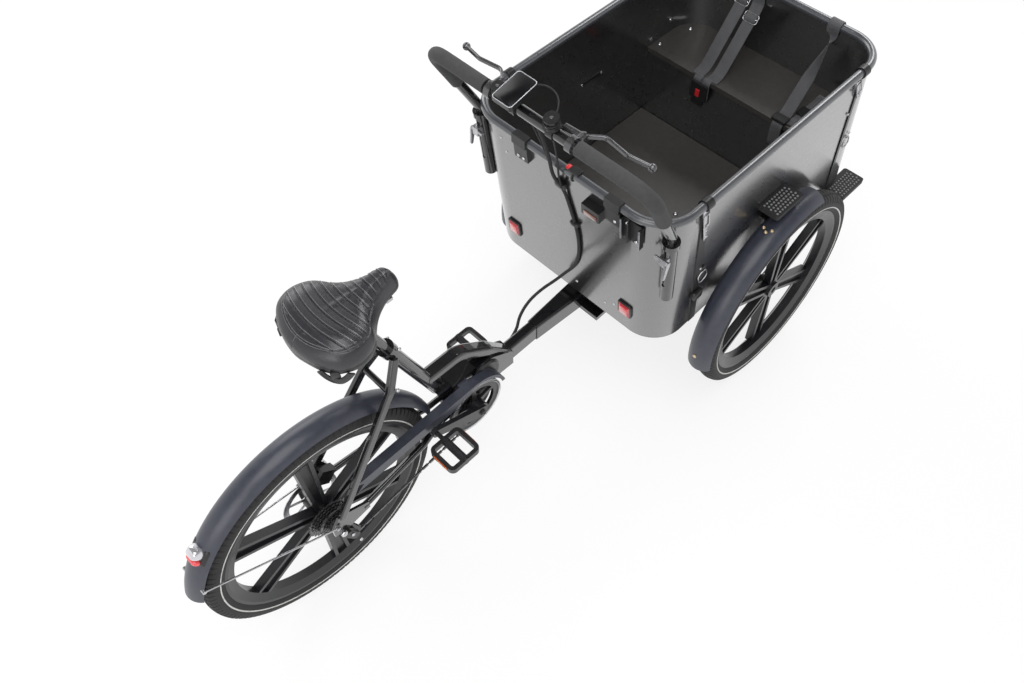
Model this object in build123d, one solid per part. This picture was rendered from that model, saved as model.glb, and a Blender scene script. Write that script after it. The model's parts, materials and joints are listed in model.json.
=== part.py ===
# Electric cargo trike: a load box on two steered front wheels, pushed by the rear half of a bicycle.
# Millimetres. While it is built, X is measured forward from the rear axle, Y to the left, Z up from the ground.
# At the end every piece is moved so that X starts at the middle of the whole length.
from build123d import *
import os
from math import acos, atan2, cos, degrees, hypot, pi, radians, sin

# Wheels
REAR_R = 335
FRONT_R = 317
REAR_TYRE_W = 56
FRONT_TYRE_W = 60
TYRE_H = 50
# Tyre section: (share of the half width, share of the height below the tread)
TYRE_SECTION = ((0.75, 1.0), (1.0, 0.52), (0.86, 0.16), (0.42, 0.0))
RIM_W = 42
RIM_DEPTH = 30
RIM_EDGE = 8
RIM_INNER_W = 24
SPOKES = 6
SPOKE_RAIL_W = 10
SPOKE_GAP_HUB = 7
SPOKE_GAP_RIM = 14
SPOKE_DEPTH = 24
SPOKE_WEB = 7
SPOKE_SINK = 8
HUB_R = 31
HUB_CAP_R = 24
CAMBER = 2.3
FRONT_HUB = (-44, 8)
FRONT_SPOKE_Y = -12
RUN_FIT = 0.06
FACE_GAP = 0.5

# Fenders: lip above the tread, crown above the lip, angles from the top with backward negative
FENDER_GAP = 11
FENDER_RISE = 20
FENDER_T = 3
REAR_FENDER_W = 70
REAR_FENDER_SPAN = (-74, 76)
FRONT_FENDER_W = 76
FRONT_FENDER_SPAN = (-97, 14)
FENDER_STAY_R = 2.5
FENDER_STAY_EYE_R = 5
FENDER_STAY_TURN = -66
LIGHT_TURN = -50
LIGHT = (46, 52, 44)
LIGHT_SINK = 12

# Rear hub and brake, Y measured from the middle plane
DROPOUT_IN = 66
DROPOUT_T = 7
REAR_AXLE_R = 6
AXLE_TIP_R = 5
AXLE_TIP_L = 14
REAR_HUB = (-26, 46)
DISC_R = 80
DISC_T = 2
DISC_BAND = 16
DISC_ARMS = 6
DISC_ARM_W = 8
DISC_HUB_W = 8
PAD_GAP = 3
CALIPER_Y = (32, 57)
CALIPER_L = 46
CALIPER_IN = 26
CALIPER_OUT = 20
CALIPER_TURN = 42
CALIPER_ROOF = 7

# Drive line
BB_AHEAD = 104
BB_Z = 332
CHAIN_Y = -45
CHAIN_PITCH = 12.7
CHAIN_BAND_W = 3
CHAIN_BAND_H = 4
CHAIN_PLATE_T = 1.1
CHAIN_PLATE_H = 8
CHAIN_PLATE_END = 3.2
CHAIN_SEAT = 0.5
TOOTH_H = 4
RING_TEETH = 40
RING_T = 2.4
RING_BAND = 14
RING_ARMS = 5
GUARD_RING_R = 91
GUARD_RING_T = 3
GUARD_OUT = 8
# Sprockets from the wheel outwards, by their teeth
SPROCKET_TEETH = (30, 26, 23, 20, 17, 15, 13, 11)
SPROCKET_PITCH = 4.2
SPROCKET_T = 2
DRIVEN_TEETH = 17
PULLEY_R = 14
GUIDE_PULLEY = (28, -66)
TENSION_PULLEY = (46, -125)
CAGE_R = 11
CAGE_T = 1.5
CAGE_HALF_W = 4.5
HANGER = (12, -33)
HANGER_ARM_T = 12
SPINDLE_R = 11
CRANK_L = 170
CRANK_ANGLE = 152
CRANK_Y = 74
CRANK_W = 13
CRANK_ROOT_R = 20
CRANK_EYE_R = 13
PEDAL_Y = 145
PEDAL_L = 98
PEDAL_W = 88
PEDAL_T = 18
PEDAL_AXLE_R = 6
PEDAL_BARREL_T = 5
PEDAL_FRAME = 11
PEDAL_CORNER_R = 16
MOTOR_HALF_W = 32
MOTOR_BB_R = 56
MOTOR_DRUM_R = 47
MOTOR_DRUM = (68, 54)
MOTOR_EDGE = 5
CHAIN_COVER_R = 108
CHAIN_COVER_T = 3
CHAIN_COVER_Y = (-60, -34)
CHAIN_COVER_RISE = 68
CHAIN_COVER_END_X = 82
CHAIN_COVER_SKIRT = 34
CHAIN_COVER_NOTCH = 20
COVER_CLEAR = 7

# Rear frame, back from or ahead of the crank axle and up from the ground
SEAT_TUBE_R = 18
SEAT_TOP_BACK = 193
SEAT_TOP_Z = 762
SEAT_FOOT_BACK = 78
SEAT_FOOT_Z = 460
COLLAR_WALL = 4
COLLAR_L = 26
SEAT_POST_R = 13.6
SEAT_POST_RISE = 163
SEAT_POST_DEPTH = 150
POST_FIT = 0.2
ARCH_W = 38
ARCH_H = 32
ARCH_CORNER_R = 9
ARCH_BEND_R = 60
BEAM_TOP_Z = 382
BEAM_H = 58
BEAM_W = 32
BEAM_CORNER_R = 7
FLARE_AHEAD = 275
FLARE_L = 395
FLARE_LIP = 5
FLARE_W = 84
STAY_R = 9
SEAT_STAY_W = 14
SEAT_STAY_H = 22
SEAT_STAY_CORNER = 4
KNEE_CLEAR = 46
KNEE_TURN = 35.2
KNEE_Y = 46
KNEE_BEND_R = 30
BRIDGE_R = 8
CRADLE_HALF_W = 25
PIVOT_AHEAD = 45
PIVOT_R = 36
PIVOT_TOP_Z = 408
PIVOT_FOOT_Z = 318
KING_PIN_R = 16
KING_PIN_HEAD_R = 28
KING_PIN_HEAD_H = 16
STOP_LUG = (55, 92, 14)
STOP_LUG_BACK = 280

# Saddle
SADDLE_BACK = 199
SADDLE_L = 267
SADDLE_HALF_W = 119
RAILS_RISE = 13
SADDLE_LIFT = 8
# Saddle sections: (height above its base, inset from the widest outline)
SADDLE_SECTIONS = ((0, 12), (14, 0), (40, 0), (55, 9), (62, 24))
SADDLE_RAIL_R = 4
SADDLE_RAIL_Y = 22
RAIL_ENDS = (34, 228)
BUMPER_R = 15
BUMPER_Y = 58
BUMPER_DROP = 12

# Load box: its length, the share of it behind the pivot, and walls that lean between the rim and the foot
BOX_L = 866
BOX_BEHIND_SHARE = 0.4088
BOX_REAR_RAKE = 58
BOX_FRONT_RAKE = 89
BOX_HALF_W = 309
BOX_CORNER_R = 96
BOX_WALL = 10
BOX_TOP_Z = 914
BOX_FOOT_Z = 420
SEAM_LEAN = 0.125
SEAM_REAR = 139
SEAM_FRONT = 110
SEAM_STRIP_T = 3
RIM_RISE = 4
RIM_TUBE_R = 11
RIM_CLAMP_R = 15
RIM_CLAMP_L = 22
REST = 0.3
FLOOR_Z = 470
FLOOR_T = 15
FLOOR_CLEAR = 2
BENCH_Z = 700
BENCH_T = 15
BENCH_DEPTH = 172
BENCH_BOARD_T = 12
BENCH_NOSE = 8
BATTERY = (110, 380, 120)
BATTERY_BEHIND = 45

# Carriage under the box
WHEEL_OUT = 63
AXLE_AHEAD = 164
RAIL_W = 30
RAIL_Y = 165
RAIL_END = 26
CROSS_END = 84
PIVOT_PLATE_L = 120
AXLE_BEAM_R = 19
AXLE_BEAM_DROP = 6
AXLE_END_IN = 82
AXLE_LEG_L = 44
AXLE_LEG_W = 20
END_PLATE_T = 8
STUB_R = 10
STUB_IN = 4
FRONT_CALIPER_L = 46
FRONT_CALIPER_CLEAR = 9

# Handlebar and its posts
BAR_R = 12.7
BAR_BEHIND = 99
BAR_RISE = 212
BAR_OUT = 13
BAR_BEND_R = 58
BAR_KNEE_R = 40
BAR_LEG_RISE = 12
POST_R = 17
POST_STAND_OFF = 0.4
POST_DROP = 38
POST_L = 221
POST_ANGLE = 127
POST_SOLID = 30
POST_COLLAR_WALL = 4
POST_COLLAR_L = 16
POST_SLIT_W = 3
POST_SLIT_L = 160
POST_EYE_R = 4.5
BAR_IN_POST = 40
GRIP_R = 17
GRIP_START_Y = 132
GRIP_SHARE = 0.55
LEVER_Y = 116
LEVER_T = 7
LEVER_H = 11


def rod(a, b, radius):
    """Round bar between two points."""
    run = Vector(*b) - Vector(*a)
    return extrude(Plane(origin=a, z_dir=run) * Circle(radius), run.length)


def flat_bar(a, b, width, height, corner):
    """Flat bar with rounded corners between two points: width as near to Y as the run allows."""
    run = Vector(*b) - Vector(*a)
    side = Vector(0, 1, 0) - run * (run.Y / run.length ** 2)
    return extrude(Plane(origin=a, x_dir=side, z_dir=run) * RectangleRounded(width, height, corner), run.length)


def block(x0, x1, y0, y1, z0, z1):
    """Plain block between six planes."""
    return Pos((x0 + x1) / 2, (y0 + y1) / 2, (z0 + z1) / 2) * Box(x1 - x0, y1 - y0, z1 - z0)


def sheet_y(face, y0, y1):
    """Sketch of X and Z, filled between two planes of Y."""
    return extrude(Plane((0, y1, 0), x_dir=(1, 0, 0), z_dir=(0, -1, 0)) * face, y1 - y0)


def disc_y(radius, y0, y1, x=0, z=0):
    """Round plate about an axis along Y through (x, z), between two planes."""
    return sheet_y(Pos(x, z) * Circle(radius), y0, y1)


def ring_y(outer, inner, y0, y1, x=0, z=0):
    """Ring about an axis along Y through (x, z), between two planes."""
    return sheet_y(Pos(x, z) * (Circle(outer) - Circle(inner)), y0, y1)


def plate_y(outline, y0, y1):
    """Plate with an outline of (x, z) points, between two planes of Y."""
    return sheet_y(make_face(Polyline(*outline, close=True)), y0, y1)


def link_y(a, b, radius_a, radius_b, y0, y1):
    """Plate with two round ends of their own radii, between two planes of Y."""
    ends = Sketch() + [Pos(*a) * Circle(radius_a), Pos(*b) * Circle(radius_b)]
    return sheet_y(make_hull(ends.edges()), y0, y1)


def tube_along(points, radii, radius):
    """Round bar along straight runs joined by arcs."""
    path = FilletPolyline(*points, radius=radii)
    return sweep(Plane(origin=path @ 0, z_dir=path % 0) * Circle(radius), path=path)


def flat_along(path, section):
    """Flat section along a path, its width as near to Y as the run at its start allows."""
    run = path % 0
    return sweep(Plane(origin=path @ 0, x_dir=Vector(0, 1, 0) - run * run.Y, z_dir=run) * section, path=path)


def turned(profile, start, end):
    """Profile at the top of the wheel, turned about the Y axis between two angles, forward positive."""
    return Rot(0, start, 0) * revolve(profile, Axis.Y, end - start)


def around(angle, radius):
    """(x, z) at a radius and an angle from the top of a wheel, forward positive."""
    return (radius * sin(radians(angle)), radius * cos(radians(angle)))


def mirrored(piece):
    """The same piece on the other side of the middle plane."""
    return mirror(piece, Plane.XZ)


def group(*solids):
    """Solids that share one node."""
    return Compound(children=[s for piece in solids for s in piece.solids()])


def largest(piece):
    """The largest solid of a cut piece."""
    return max(piece.solids(), key=lambda solid: solid.volume)


def both(piece):
    """A piece and its mirror image."""
    return group(piece, mirrored(piece))


# Wheels are made about the origin with their axle along Y and their outer side towards +Y
def tyre(radius, width):
    """Plain tyre: straight-sided section turned about the axle."""
    right = [(width / 2 * share, radius - TYRE_H * drop) for share, drop in TYRE_SECTION]
    outline = right + [(-y, r) for y, r in reversed(right)]
    return revolve(make_face(Polyline(*[(0, y, r) for y, r in outline], close=True)), Axis.Y, 360)


def cast_wheel(radius, hub, bore, spoke_y):
    """Cast wheel: deep rim, round hub, and spokes of two rails with a thin web between them."""
    seat = radius - TYRE_H
    inner = seat - RIM_DEPTH
    rim_half = RIM_W / 2
    inner_half = RIM_INNER_W / 2
    rim = revolve(make_face(Polyline(
        (0, -rim_half, seat), (0, rim_half, seat), (0, rim_half, seat - RIM_EDGE), (0, inner_half, inner),
        (0, -inner_half, inner), (0, -rim_half, seat - RIM_EDGE), close=True)), Axis.Y, 360)
    y0 = spoke_y - SPOKE_DEPTH / 2
    y1 = spoke_y + SPOKE_DEPTH / 2
    root = HUB_R - SPOKE_SINK
    tip = inner + SPOKE_SINK
    rail = plate_y([(SPOKE_GAP_HUB, root), (SPOKE_GAP_HUB + SPOKE_RAIL_W, root),
                    (SPOKE_GAP_RIM + SPOKE_RAIL_W, tip), (SPOKE_GAP_RIM, tip)], y0, y1)
    web = plate_y([(-SPOKE_GAP_HUB, root), (SPOKE_GAP_HUB, root), (SPOKE_GAP_RIM, tip), (-SPOKE_GAP_RIM, tip)],
                  spoke_y - SPOKE_WEB / 2, spoke_y + SPOKE_WEB / 2)
    spoke = rail + mirror(rail, Plane.YZ) + web
    wheel = rim + disc_y(HUB_R, y0, y1) + disc_y(HUB_CAP_R, *hub)
    for k in range(SPOKES):
        wheel += Rot(0, 360 / SPOKES * k, 0) * spoke
    return wheel - disc_y(bore, *hub)


def brake_disc(y, bore):
    """Brake disc: a thin band on straight arms round the hub."""
    band = DISC_R - DISC_BAND
    half = DISC_ARM_W / 2
    disc = ring_y(DISC_R, band, y, y + DISC_T) + ring_y(bore + DISC_HUB_W, bore, y, y + DISC_T)
    arm = plate_y([(-half, bore + half), (half, bore + half), (half, band + half), (-half, band + half)], y, y + DISC_T)
    for k in range(DISC_ARMS):
        disc += Rot(0, 360 / DISC_ARMS * k, 0) * arm
    return disc


def caliper_over(disc_y0, y0, y1, length, turn):
    """Brake caliper astride the disc, at an angle from the top: a block with a slot for the disc and its pads."""
    body = block(-length / 2, length / 2, y0, y1, DISC_R - CALIPER_IN, DISC_R + CALIPER_OUT)
    slot = block(-length, length, disc_y0 - PAD_GAP, disc_y0 + DISC_T + PAD_GAP, 0, DISC_R + CALIPER_OUT - CALIPER_ROOF)
    return Rot(0, turn, 0) * (body - slot)


def fender(radius, width, span):
    """Fender: an arched strip turned round the wheel."""
    lip = radius + FENDER_GAP
    half = width / 2
    section = Curve() + [
        ThreePointArc((0, -half, lip), (0, 0, lip + FENDER_RISE), (0, half, lip)),
        Line((0, half, lip), (0, half - FENDER_T, lip)),
        ThreePointArc((0, half - FENDER_T, lip), (0, 0, lip + FENDER_RISE - FENDER_T), (0, FENDER_T - half, lip)),
        Line((0, FENDER_T - half, lip), (0, -half, lip)),
    ]
    return turned(make_face(section), *span)


def sprocket(teeth, tip_r):
    """Outline of a sprocket: straight-flanked teeth on a round root."""
    points = []
    for k in range(teeth):
        for share, radius in ((0.0, tip_r - TOOTH_H), (0.35, tip_r - TOOTH_H), (0.55, tip_r), (0.8, tip_r)):
            turn = 2 * pi * (k + share) / teeth
            points.append((radius * cos(turn), radius * sin(turn)))
    return make_face(Polyline(*points, close=True))


def tip_radius(teeth):
    """Radius over the teeth of a sprocket for the chain's pitch."""
    return CHAIN_PITCH / (2 * sin(pi / teeth))


pieces = {}

# Places along the length that follow from the sizes
fender_out = REAR_R + FENDER_GAP + FENDER_RISE
bb_x = fender_out + BB_AHEAD
bb = (bb_x, BB_Z)
beam_mid_z = BEAM_TOP_Z - BEAM_H / 2
beam_foot_z = BEAM_TOP_Z - BEAM_H
flare_x = bb_x + FLARE_AHEAD
flare_end_x = flare_x + FLARE_L
pivot_x = flare_end_x + PIVOT_AHEAD
box_rear_top = pivot_x - BOX_L * BOX_BEHIND_SHARE
box_front_top = box_rear_top + BOX_L
front_axle_x = pivot_x + AXLE_AHEAD
track_half = BOX_HALF_W + WHEEL_OUT
dropout_out = DROPOUT_IN + DROPOUT_T

# Rear wheel and its axle
REAR_AXLE = Pos(0, 0, REAR_R)
rear_bore = REAR_AXLE_R + RUN_FIT
pieces["rear_tyre"] = REAR_AXLE * tyre(REAR_R, REAR_TYRE_W)
pieces["rear_cast_wheel"] = REAR_AXLE * cast_wheel(REAR_R, REAR_HUB, rear_bore, 0)
rear_disc_y = REAR_HUB[1]
pieces["rear_brake_disc"] = REAR_AXLE * brake_disc(rear_disc_y, rear_bore)
cassette_in = REAR_HUB[0]
cassette_out = cassette_in - len(SPROCKET_TEETH) * SPROCKET_PITCH
cassette = disc_y(tip_radius(min(SPROCKET_TEETH)) - TOOTH_H, cassette_out, cassette_in)
for k, teeth in enumerate(SPROCKET_TEETH):
    y = cassette_in - SPROCKET_PITCH * (k + 0.5)
    cassette += sheet_y(sprocket(teeth, tip_radius(teeth)), y - SPROCKET_T / 2, y + SPROCKET_T / 2)
pieces["cassette"] = REAR_AXLE * (cassette - disc_y(rear_bore, cassette_out, cassette_in))
axle = disc_y(REAR_AXLE_R, -dropout_out, dropout_out)
axle += disc_y(AXLE_TIP_R, -dropout_out - AXLE_TIP_L, dropout_out + AXLE_TIP_L)
pieces["rear_axle"] = REAR_AXLE * axle

# Motor: one casing round the crank axle and the drum ahead of it
drum = (bb_x + MOTOR_DRUM[0], BB_Z + MOTOR_DRUM[1])
motor_form = link_y(bb, drum, MOTOR_BB_R, MOTOR_DRUM_R, -MOTOR_HALF_W, MOTOR_HALF_W)
motor_sides = motor_form.faces().sort_by(Axis.Y)
motor = chamfer(motor_sides[0].edges() + motor_sides[-1].edges(), MOTOR_EDGE)
pieces["motor"] = motor - disc_y(SPINDLE_R + RUN_FIT, -MOTOR_HALF_W, MOTOR_HALF_W, *bb)

# Main frame: seat tube, arch, motor cradle, beam with its flare, stays, dropouts and pivot tube
seat_top = (bb_x - SEAT_TOP_BACK, 0, SEAT_TOP_Z)
seat_foot = (bb_x - SEAT_FOOT_BACK, 0, SEAT_FOOT_Z)
seat_axis = (Vector(*seat_foot) - Vector(*seat_top)).normalized()


def down_seat(run):
    """Point down the seat tube from its top."""
    return tuple(Vector(*seat_top) + seat_axis * run)


def beam_section(x, width, height):
    """Rounded section of the beam at a place along it."""
    return Plane((x, 0, beam_mid_z), x_dir=(0, 1, 0), z_dir=(1, 0, 0)) * RectangleRounded(width, height, BEAM_CORNER_R)


# Arch and motor cradle from the crank axle: (ahead, up); both run into the beam at their last points
ARCH = ((-106, 201), (0, 198), (92, 120))
CRADLE = ((0, 0), (-74, 72), (-96, 142), (-58, 138), (-40, 108), (35, 118), (102, 96))
ARCH_FOOT = 170
arch_path = FilletPolyline(*[(bb_x + x, 0, BB_Z + z) for x, z in ARCH], (bb_x + ARCH_FOOT, 0, beam_mid_z), radius=ARCH_BEND_R)
arch = flat_along(arch_path, RectangleRounded(ARCH_W, ARCH_H, ARCH_CORNER_R))
cradle = plate_y([(bb_x + x, BB_Z + z) for x, z in CRADLE] + [(bb_x + ARCH_FOOT, BEAM_TOP_Z), (bb_x + ARCH_FOOT, beam_foot_z)],
                 -CRADLE_HALF_W, CRADLE_HALF_W)
beam = extrude(beam_section(drum[0] + MOTOR_DRUM_R, BEAM_W, BEAM_H), flare_x - drum[0] - MOTOR_DRUM_R)
flare = loft([beam_section(flare_x - FLARE_LIP, BEAM_W + FLARE_LIP, BEAM_H + FLARE_LIP),
              beam_section(flare_end_x, FLARE_W, BEAM_H + FLARE_LIP)], ruled=True)
neck = block(flare_end_x - PIVOT_AHEAD, pivot_x, FLARE_LIP - PIVOT_R, PIVOT_R - FLARE_LIP, beam_foot_z, BEAM_TOP_Z)
pivot = rod((pivot_x, 0, PIVOT_FOOT_Z), (pivot_x, 0, PIVOT_TOP_Z), PIVOT_R)
pivot_bore = rod((pivot_x, 0, PIVOT_FOOT_Z), (pivot_x, 0, PIVOT_TOP_Z), KING_PIN_R + RUN_FIT)
# Chain stay from the cradle to the dropout: (back from the crank axle, y, above the crank axle)
CHAIN_STAY = ((40, 26, 13), (102, 28, 11), (174, 46, 9))
CHAIN_STAY_END = (76, 67, 3)
chain_stay = tube_along([(bb_x - x, y, BB_Z + z) for x, y, z in CHAIN_STAY]
                        + [(CHAIN_STAY_END[0], CHAIN_STAY_END[1], REAR_R + CHAIN_STAY_END[2])], ARCH_BEND_R, STAY_R)
knee_x, knee_rise = around(KNEE_TURN, fender_out + KNEE_CLEAR)
knee = (knee_x, KNEE_Y, REAR_R + knee_rise)
SEAT_STAY_TOP = (3, 24, -24)
SEAT_STAY_FOOT = (16, 69, 39)
stay_top = (seat_top[0] + SEAT_STAY_TOP[0], SEAT_STAY_TOP[1], SEAT_TOP_Z + SEAT_STAY_TOP[2])
stay_foot = (SEAT_STAY_FOOT[0], SEAT_STAY_FOOT[1], REAR_R + SEAT_STAY_FOOT[2])
stay_path = FilletPolyline(stay_top, knee, stay_foot, radius=KNEE_BEND_R)
seat_stay = flat_along(stay_path, RectangleRounded(SEAT_STAY_W, SEAT_STAY_H, SEAT_STAY_CORNER))
seat_stay += rod((knee_x, -1, knee[2]), knee, BRIDGE_R)
# Plates from the rear axle: (ahead, up)
DROPOUT = ((-18, -17), (-18, 17), (6, 53), (30, 49), (92, 17), (92, -11), (24, -23))
CALIPER_TAB = ((10, 35), (40, 17), (78, 60), (64, 95), (30, 95))
hanger = (HANGER[0], REAR_R + HANGER[1])
HANGER_TAB = ((-6, -5), (22, -5), (24, -43), (4, -43))
dropout = plate_y([(x, REAR_R + z) for x, z in DROPOUT], DROPOUT_IN, dropout_out)
half_frame = chain_stay + seat_stay + dropout
frame = rod(seat_top, seat_foot, SEAT_TUBE_R) + rod(seat_top, down_seat(COLLAR_L), SEAT_TUBE_R + COLLAR_WALL)
frame += arch + cradle + beam + flare + neck + pivot
frame += half_frame
frame += mirrored(half_frame)
frame += plate_y([(x, REAR_R + z) for x, z in CALIPER_TAB], CALIPER_Y[1], dropout_out)
frame += plate_y([(x, REAR_R + z) for x, z in HANGER_TAB], -dropout_out, -DROPOUT_IN)
lug_x = pivot_x - STOP_LUG_BACK
frame += block(lug_x, lug_x + STOP_LUG[0], -STOP_LUG[1], 0, beam_foot_z, beam_foot_z + STOP_LUG[2])
frame -= pivot_bore
frame -= motor_form
frame -= rod(seat_top, down_seat(SEAT_POST_DEPTH), SEAT_POST_R + POST_FIT)
frame -= REAR_AXLE * disc_y(REAR_AXLE_R, -dropout_out, dropout_out)
pieces["main_frame"] = frame

# Seat post, saddle rails and saddle
post_top = down_seat(SEAT_POST_RISE / seat_axis.Z)
rail_z = post_top[2] + RAILS_RISE
saddle_x = seat_top[0] - SADDLE_BACK
saddle_z = rail_z + SADDLE_LIFT
rail_rear, rail_front = [saddle_x + x for x in RAIL_ENDS]
rail_rods = both(rod((rail_rear, SADDLE_RAIL_Y, rail_z), (rail_front, SADDLE_RAIL_Y, rail_z), SADDLE_RAIL_R))
rail_half = SADDLE_RAIL_Y + 2 * SADDLE_RAIL_R
rail_clamp = block(post_top[0] - 22, post_top[0] + 22, -rail_half, rail_half, rail_z - 21, rail_z + SADDLE_LIFT - 1)
pieces["seat_post"] = rod(down_seat(SEAT_POST_DEPTH - 10), post_top, SEAT_POST_R) + rail_clamp - rail_rods
# Arcs of the saddle's outline by three points each: (share of the length from the tail, share of the half width)
SADDLE_ARCS = (((0.13, -0.86), (0.0, 0.0), (0.13, 0.86)), ((0.13, 0.86), (0.33, 1.0), (0.5, 0.84)),
               ((0.5, 0.84), (0.67, 0.44), (0.9, 0.23)), ((0.9, 0.23), (1.0, 0.0), (0.9, -0.23)),
               ((0.9, -0.23), (0.67, -0.44), (0.5, -0.84)), ((0.5, -0.84), (0.33, -1.0), (0.13, -0.86)))


def saddle_outline(rise, inset):
    """Outline of the saddle at a height above its base, drawn in by an inset."""
    tail = saddle_x + inset
    long = SADDLE_L - 2 * inset
    wide = SADDLE_HALF_W - inset
    arcs = [ThreePointArc(*[(tail + s * long, w * wide, saddle_z + rise) for s, w in arc]) for arc in SADDLE_ARCS]
    return make_face(Curve() + arcs)


pieces["saddle"] = loft([saddle_outline(rise, inset) for rise, inset in SADDLE_SECTIONS], ruled=True)
rails = rail_rods.solids()[0] + rail_rods.solids()[1]
rails += block(rail_rear, rail_rear + 22, -BUMPER_Y, BUMPER_Y, rail_z, saddle_z)
rails += block(rail_front - 16, rail_front, -rail_half, rail_half, rail_z, saddle_z)
for y in (-BUMPER_Y, BUMPER_Y):
    rails += rod((rail_rear + 11, y, rail_z - BUMPER_DROP), (rail_rear + 11, y, saddle_z), BUMPER_R)
pieces["saddle_rails"] = rails

# Rear fender, its stays and the tail light
rear_fender = REAR_AXLE * fender(REAR_R, REAR_FENDER_W, REAR_FENDER_SPAN)
pieces["rear_fender"] = rear_fender
stay_x, stay_rise = around(FENDER_STAY_TURN, REAR_R + FENDER_GAP + 2)
stay_tip = (stay_x, REAR_FENDER_W / 2 + FENDER_T, REAR_R + stay_rise)
STAY_EYE = (-6, 27)
stay_eye = (STAY_EYE[0], REAR_R + STAY_EYE[1])
fender_stay = rod((stay_eye[0], dropout_out + FENDER_STAY_EYE_R, stay_eye[1]), stay_tip, FENDER_STAY_R)
fender_stay += disc_y(FENDER_STAY_EYE_R, dropout_out, dropout_out + 2 * FENDER_STAY_EYE_R, *stay_eye)
fender_stay += disc_y(FENDER_STAY_EYE_R, REAR_FENDER_W / 2 - 8, REAR_FENDER_W / 2 + 6, stay_tip[0], stay_tip[2])
pieces["fender_stays"] = both(largest(fender_stay - rear_fender))
light = Pos(0, 0, fender_out - LIGHT_SINK + LIGHT[2] / 2) * Box(*LIGHT)
light = chamfer(light.edges().filter_by(Axis.Y).sort_by(Axis.Z)[-2:], LIGHT_SINK)
pieces["tail_light"] = largest(REAR_AXLE * Rot(0, LIGHT_TURN, 0) * light - rear_fender)

# Rear brake caliper over the disc
pieces["rear_caliper"] = REAR_AXLE * caliper_over(rear_disc_y, *CALIPER_Y, CALIPER_L, CALIPER_TURN)

# Chain: a band with link plates, round the chainring, the sprocket it is on and the two pulleys
pitch_lift = CHAIN_SEAT + CHAIN_BAND_H / 2
rear_chain_r = tip_radius(DRIVEN_TEETH)
guide = (GUIDE_PULLEY[0], REAR_R + GUIDE_PULLEY[1])
tension = (TENSION_PULLEY[0], REAR_R + TENSION_PULLEY[1])
# Rounds in the order of the chain's run: (x, z, pitch radius), below zero where the chain passes the other side
chain_rounds = ((*bb, tip_radius(RING_TEETH) + pitch_lift), (0, REAR_R, rear_chain_r + pitch_lift),
                (*guide, -PULLEY_R - pitch_lift), (*tension, PULLEY_R + pitch_lift))


def touch_points(a, b):
    """Ends of the straight run that leaves round a and meets round b."""
    (ax, az, ar), (bx, bz, br) = a, b
    turn = atan2(bz - az, bx - ax) + acos((br - ar) / hypot(bx - ax, bz - az))
    return (ax - ar * cos(turn), az - ar * sin(turn)), (bx - br * cos(turn), bz - br * sin(turn))


def chain_loop(grow):
    """Closed line of straight runs and arcs round the drive, set out from the pitch line."""
    rounds = [(x, z, r + grow) for x, z, r in chain_rounds]
    runs = [touch_points(a, b) for a, b in zip(rounds, rounds[1:] + rounds[:1])]
    edges = []
    for (x, z, r), before, after in zip(rounds, runs[-1:] + runs[:-1], runs):
        start, end = before[1], after[0]
        first = atan2(start[1] - z, start[0] - x)
        last = atan2(end[1] - z, end[0] - x)
        sweep_turn = (last - first) % (2 * pi) if r > 0 else -((first - last) % (2 * pi))
        middle_turn = first + sweep_turn / 2
        edges.append(ThreePointArc(start, (x + abs(r) * cos(middle_turn), z + abs(r) * sin(middle_turn)), end))
        edges.append(Line(end, after[1]))
    return edges


half_h = CHAIN_BAND_H / 2
half_band = CHAIN_BAND_W / 2
band = make_face(Curve() + chain_loop(half_h)) - make_face(Curve() + chain_loop(-half_h))
chain = sheet_y(band, CHAIN_Y - half_band, CHAIN_Y + half_band)
pitch_line = Wire(chain_loop(0))
links = 2 * round(pitch_line.length / (2 * CHAIN_PITCH))
step = pitch_line.length / links
plates = []
for k in range(0, links, 2):
    a, b = [pitch_line.position_at(n * step, position_mode=PositionMode.LENGTH) for n in (k, k + 1)]
    tilt = degrees(atan2(b.Y - a.Y, b.X - a.X))
    plate = Pos((a.X + b.X) / 2, (a.Y + b.Y) / 2) * Rot(0, 0, tilt) * Rectangle(step + 2 * CHAIN_PLATE_END, CHAIN_PLATE_H)
    for y0 in (CHAIN_Y - half_band - CHAIN_PLATE_T, CHAIN_Y + half_band):
        plates.append(sheet_y(plate, y0, y0 + CHAIN_PLATE_T))
pieces["chain"] = chain.fuse(*plates)

# Derailleur: hanger knuckle, arm, cage plates and the two pulleys
cage_out = CHAIN_Y - CAGE_HALF_W - CAGE_T
arm_out = -dropout_out - HANGER_ARM_T
derailleur = link_y(hanger, guide, CAGE_R, CAGE_R, arm_out, -dropout_out)
derailleur += disc_y(CAGE_R - 2, -dropout_out, cage_out, *guide)
for y in (cage_out, CHAIN_Y + CAGE_HALF_W):
    derailleur += link_y(guide, tension, CAGE_R, CAGE_R, y, y + CAGE_T)
for wheel in (guide, tension):
    derailleur += disc_y(PULLEY_R, CHAIN_Y - half_band + CHAIN_SEAT, CHAIN_Y + half_band - CHAIN_SEAT, *wheel)
    derailleur += disc_y(CAGE_HALF_W, cage_out, CHAIN_Y + CAGE_HALF_W + CAGE_T, *wheel)
pieces["rear_derailleur"] = derailleur

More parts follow.
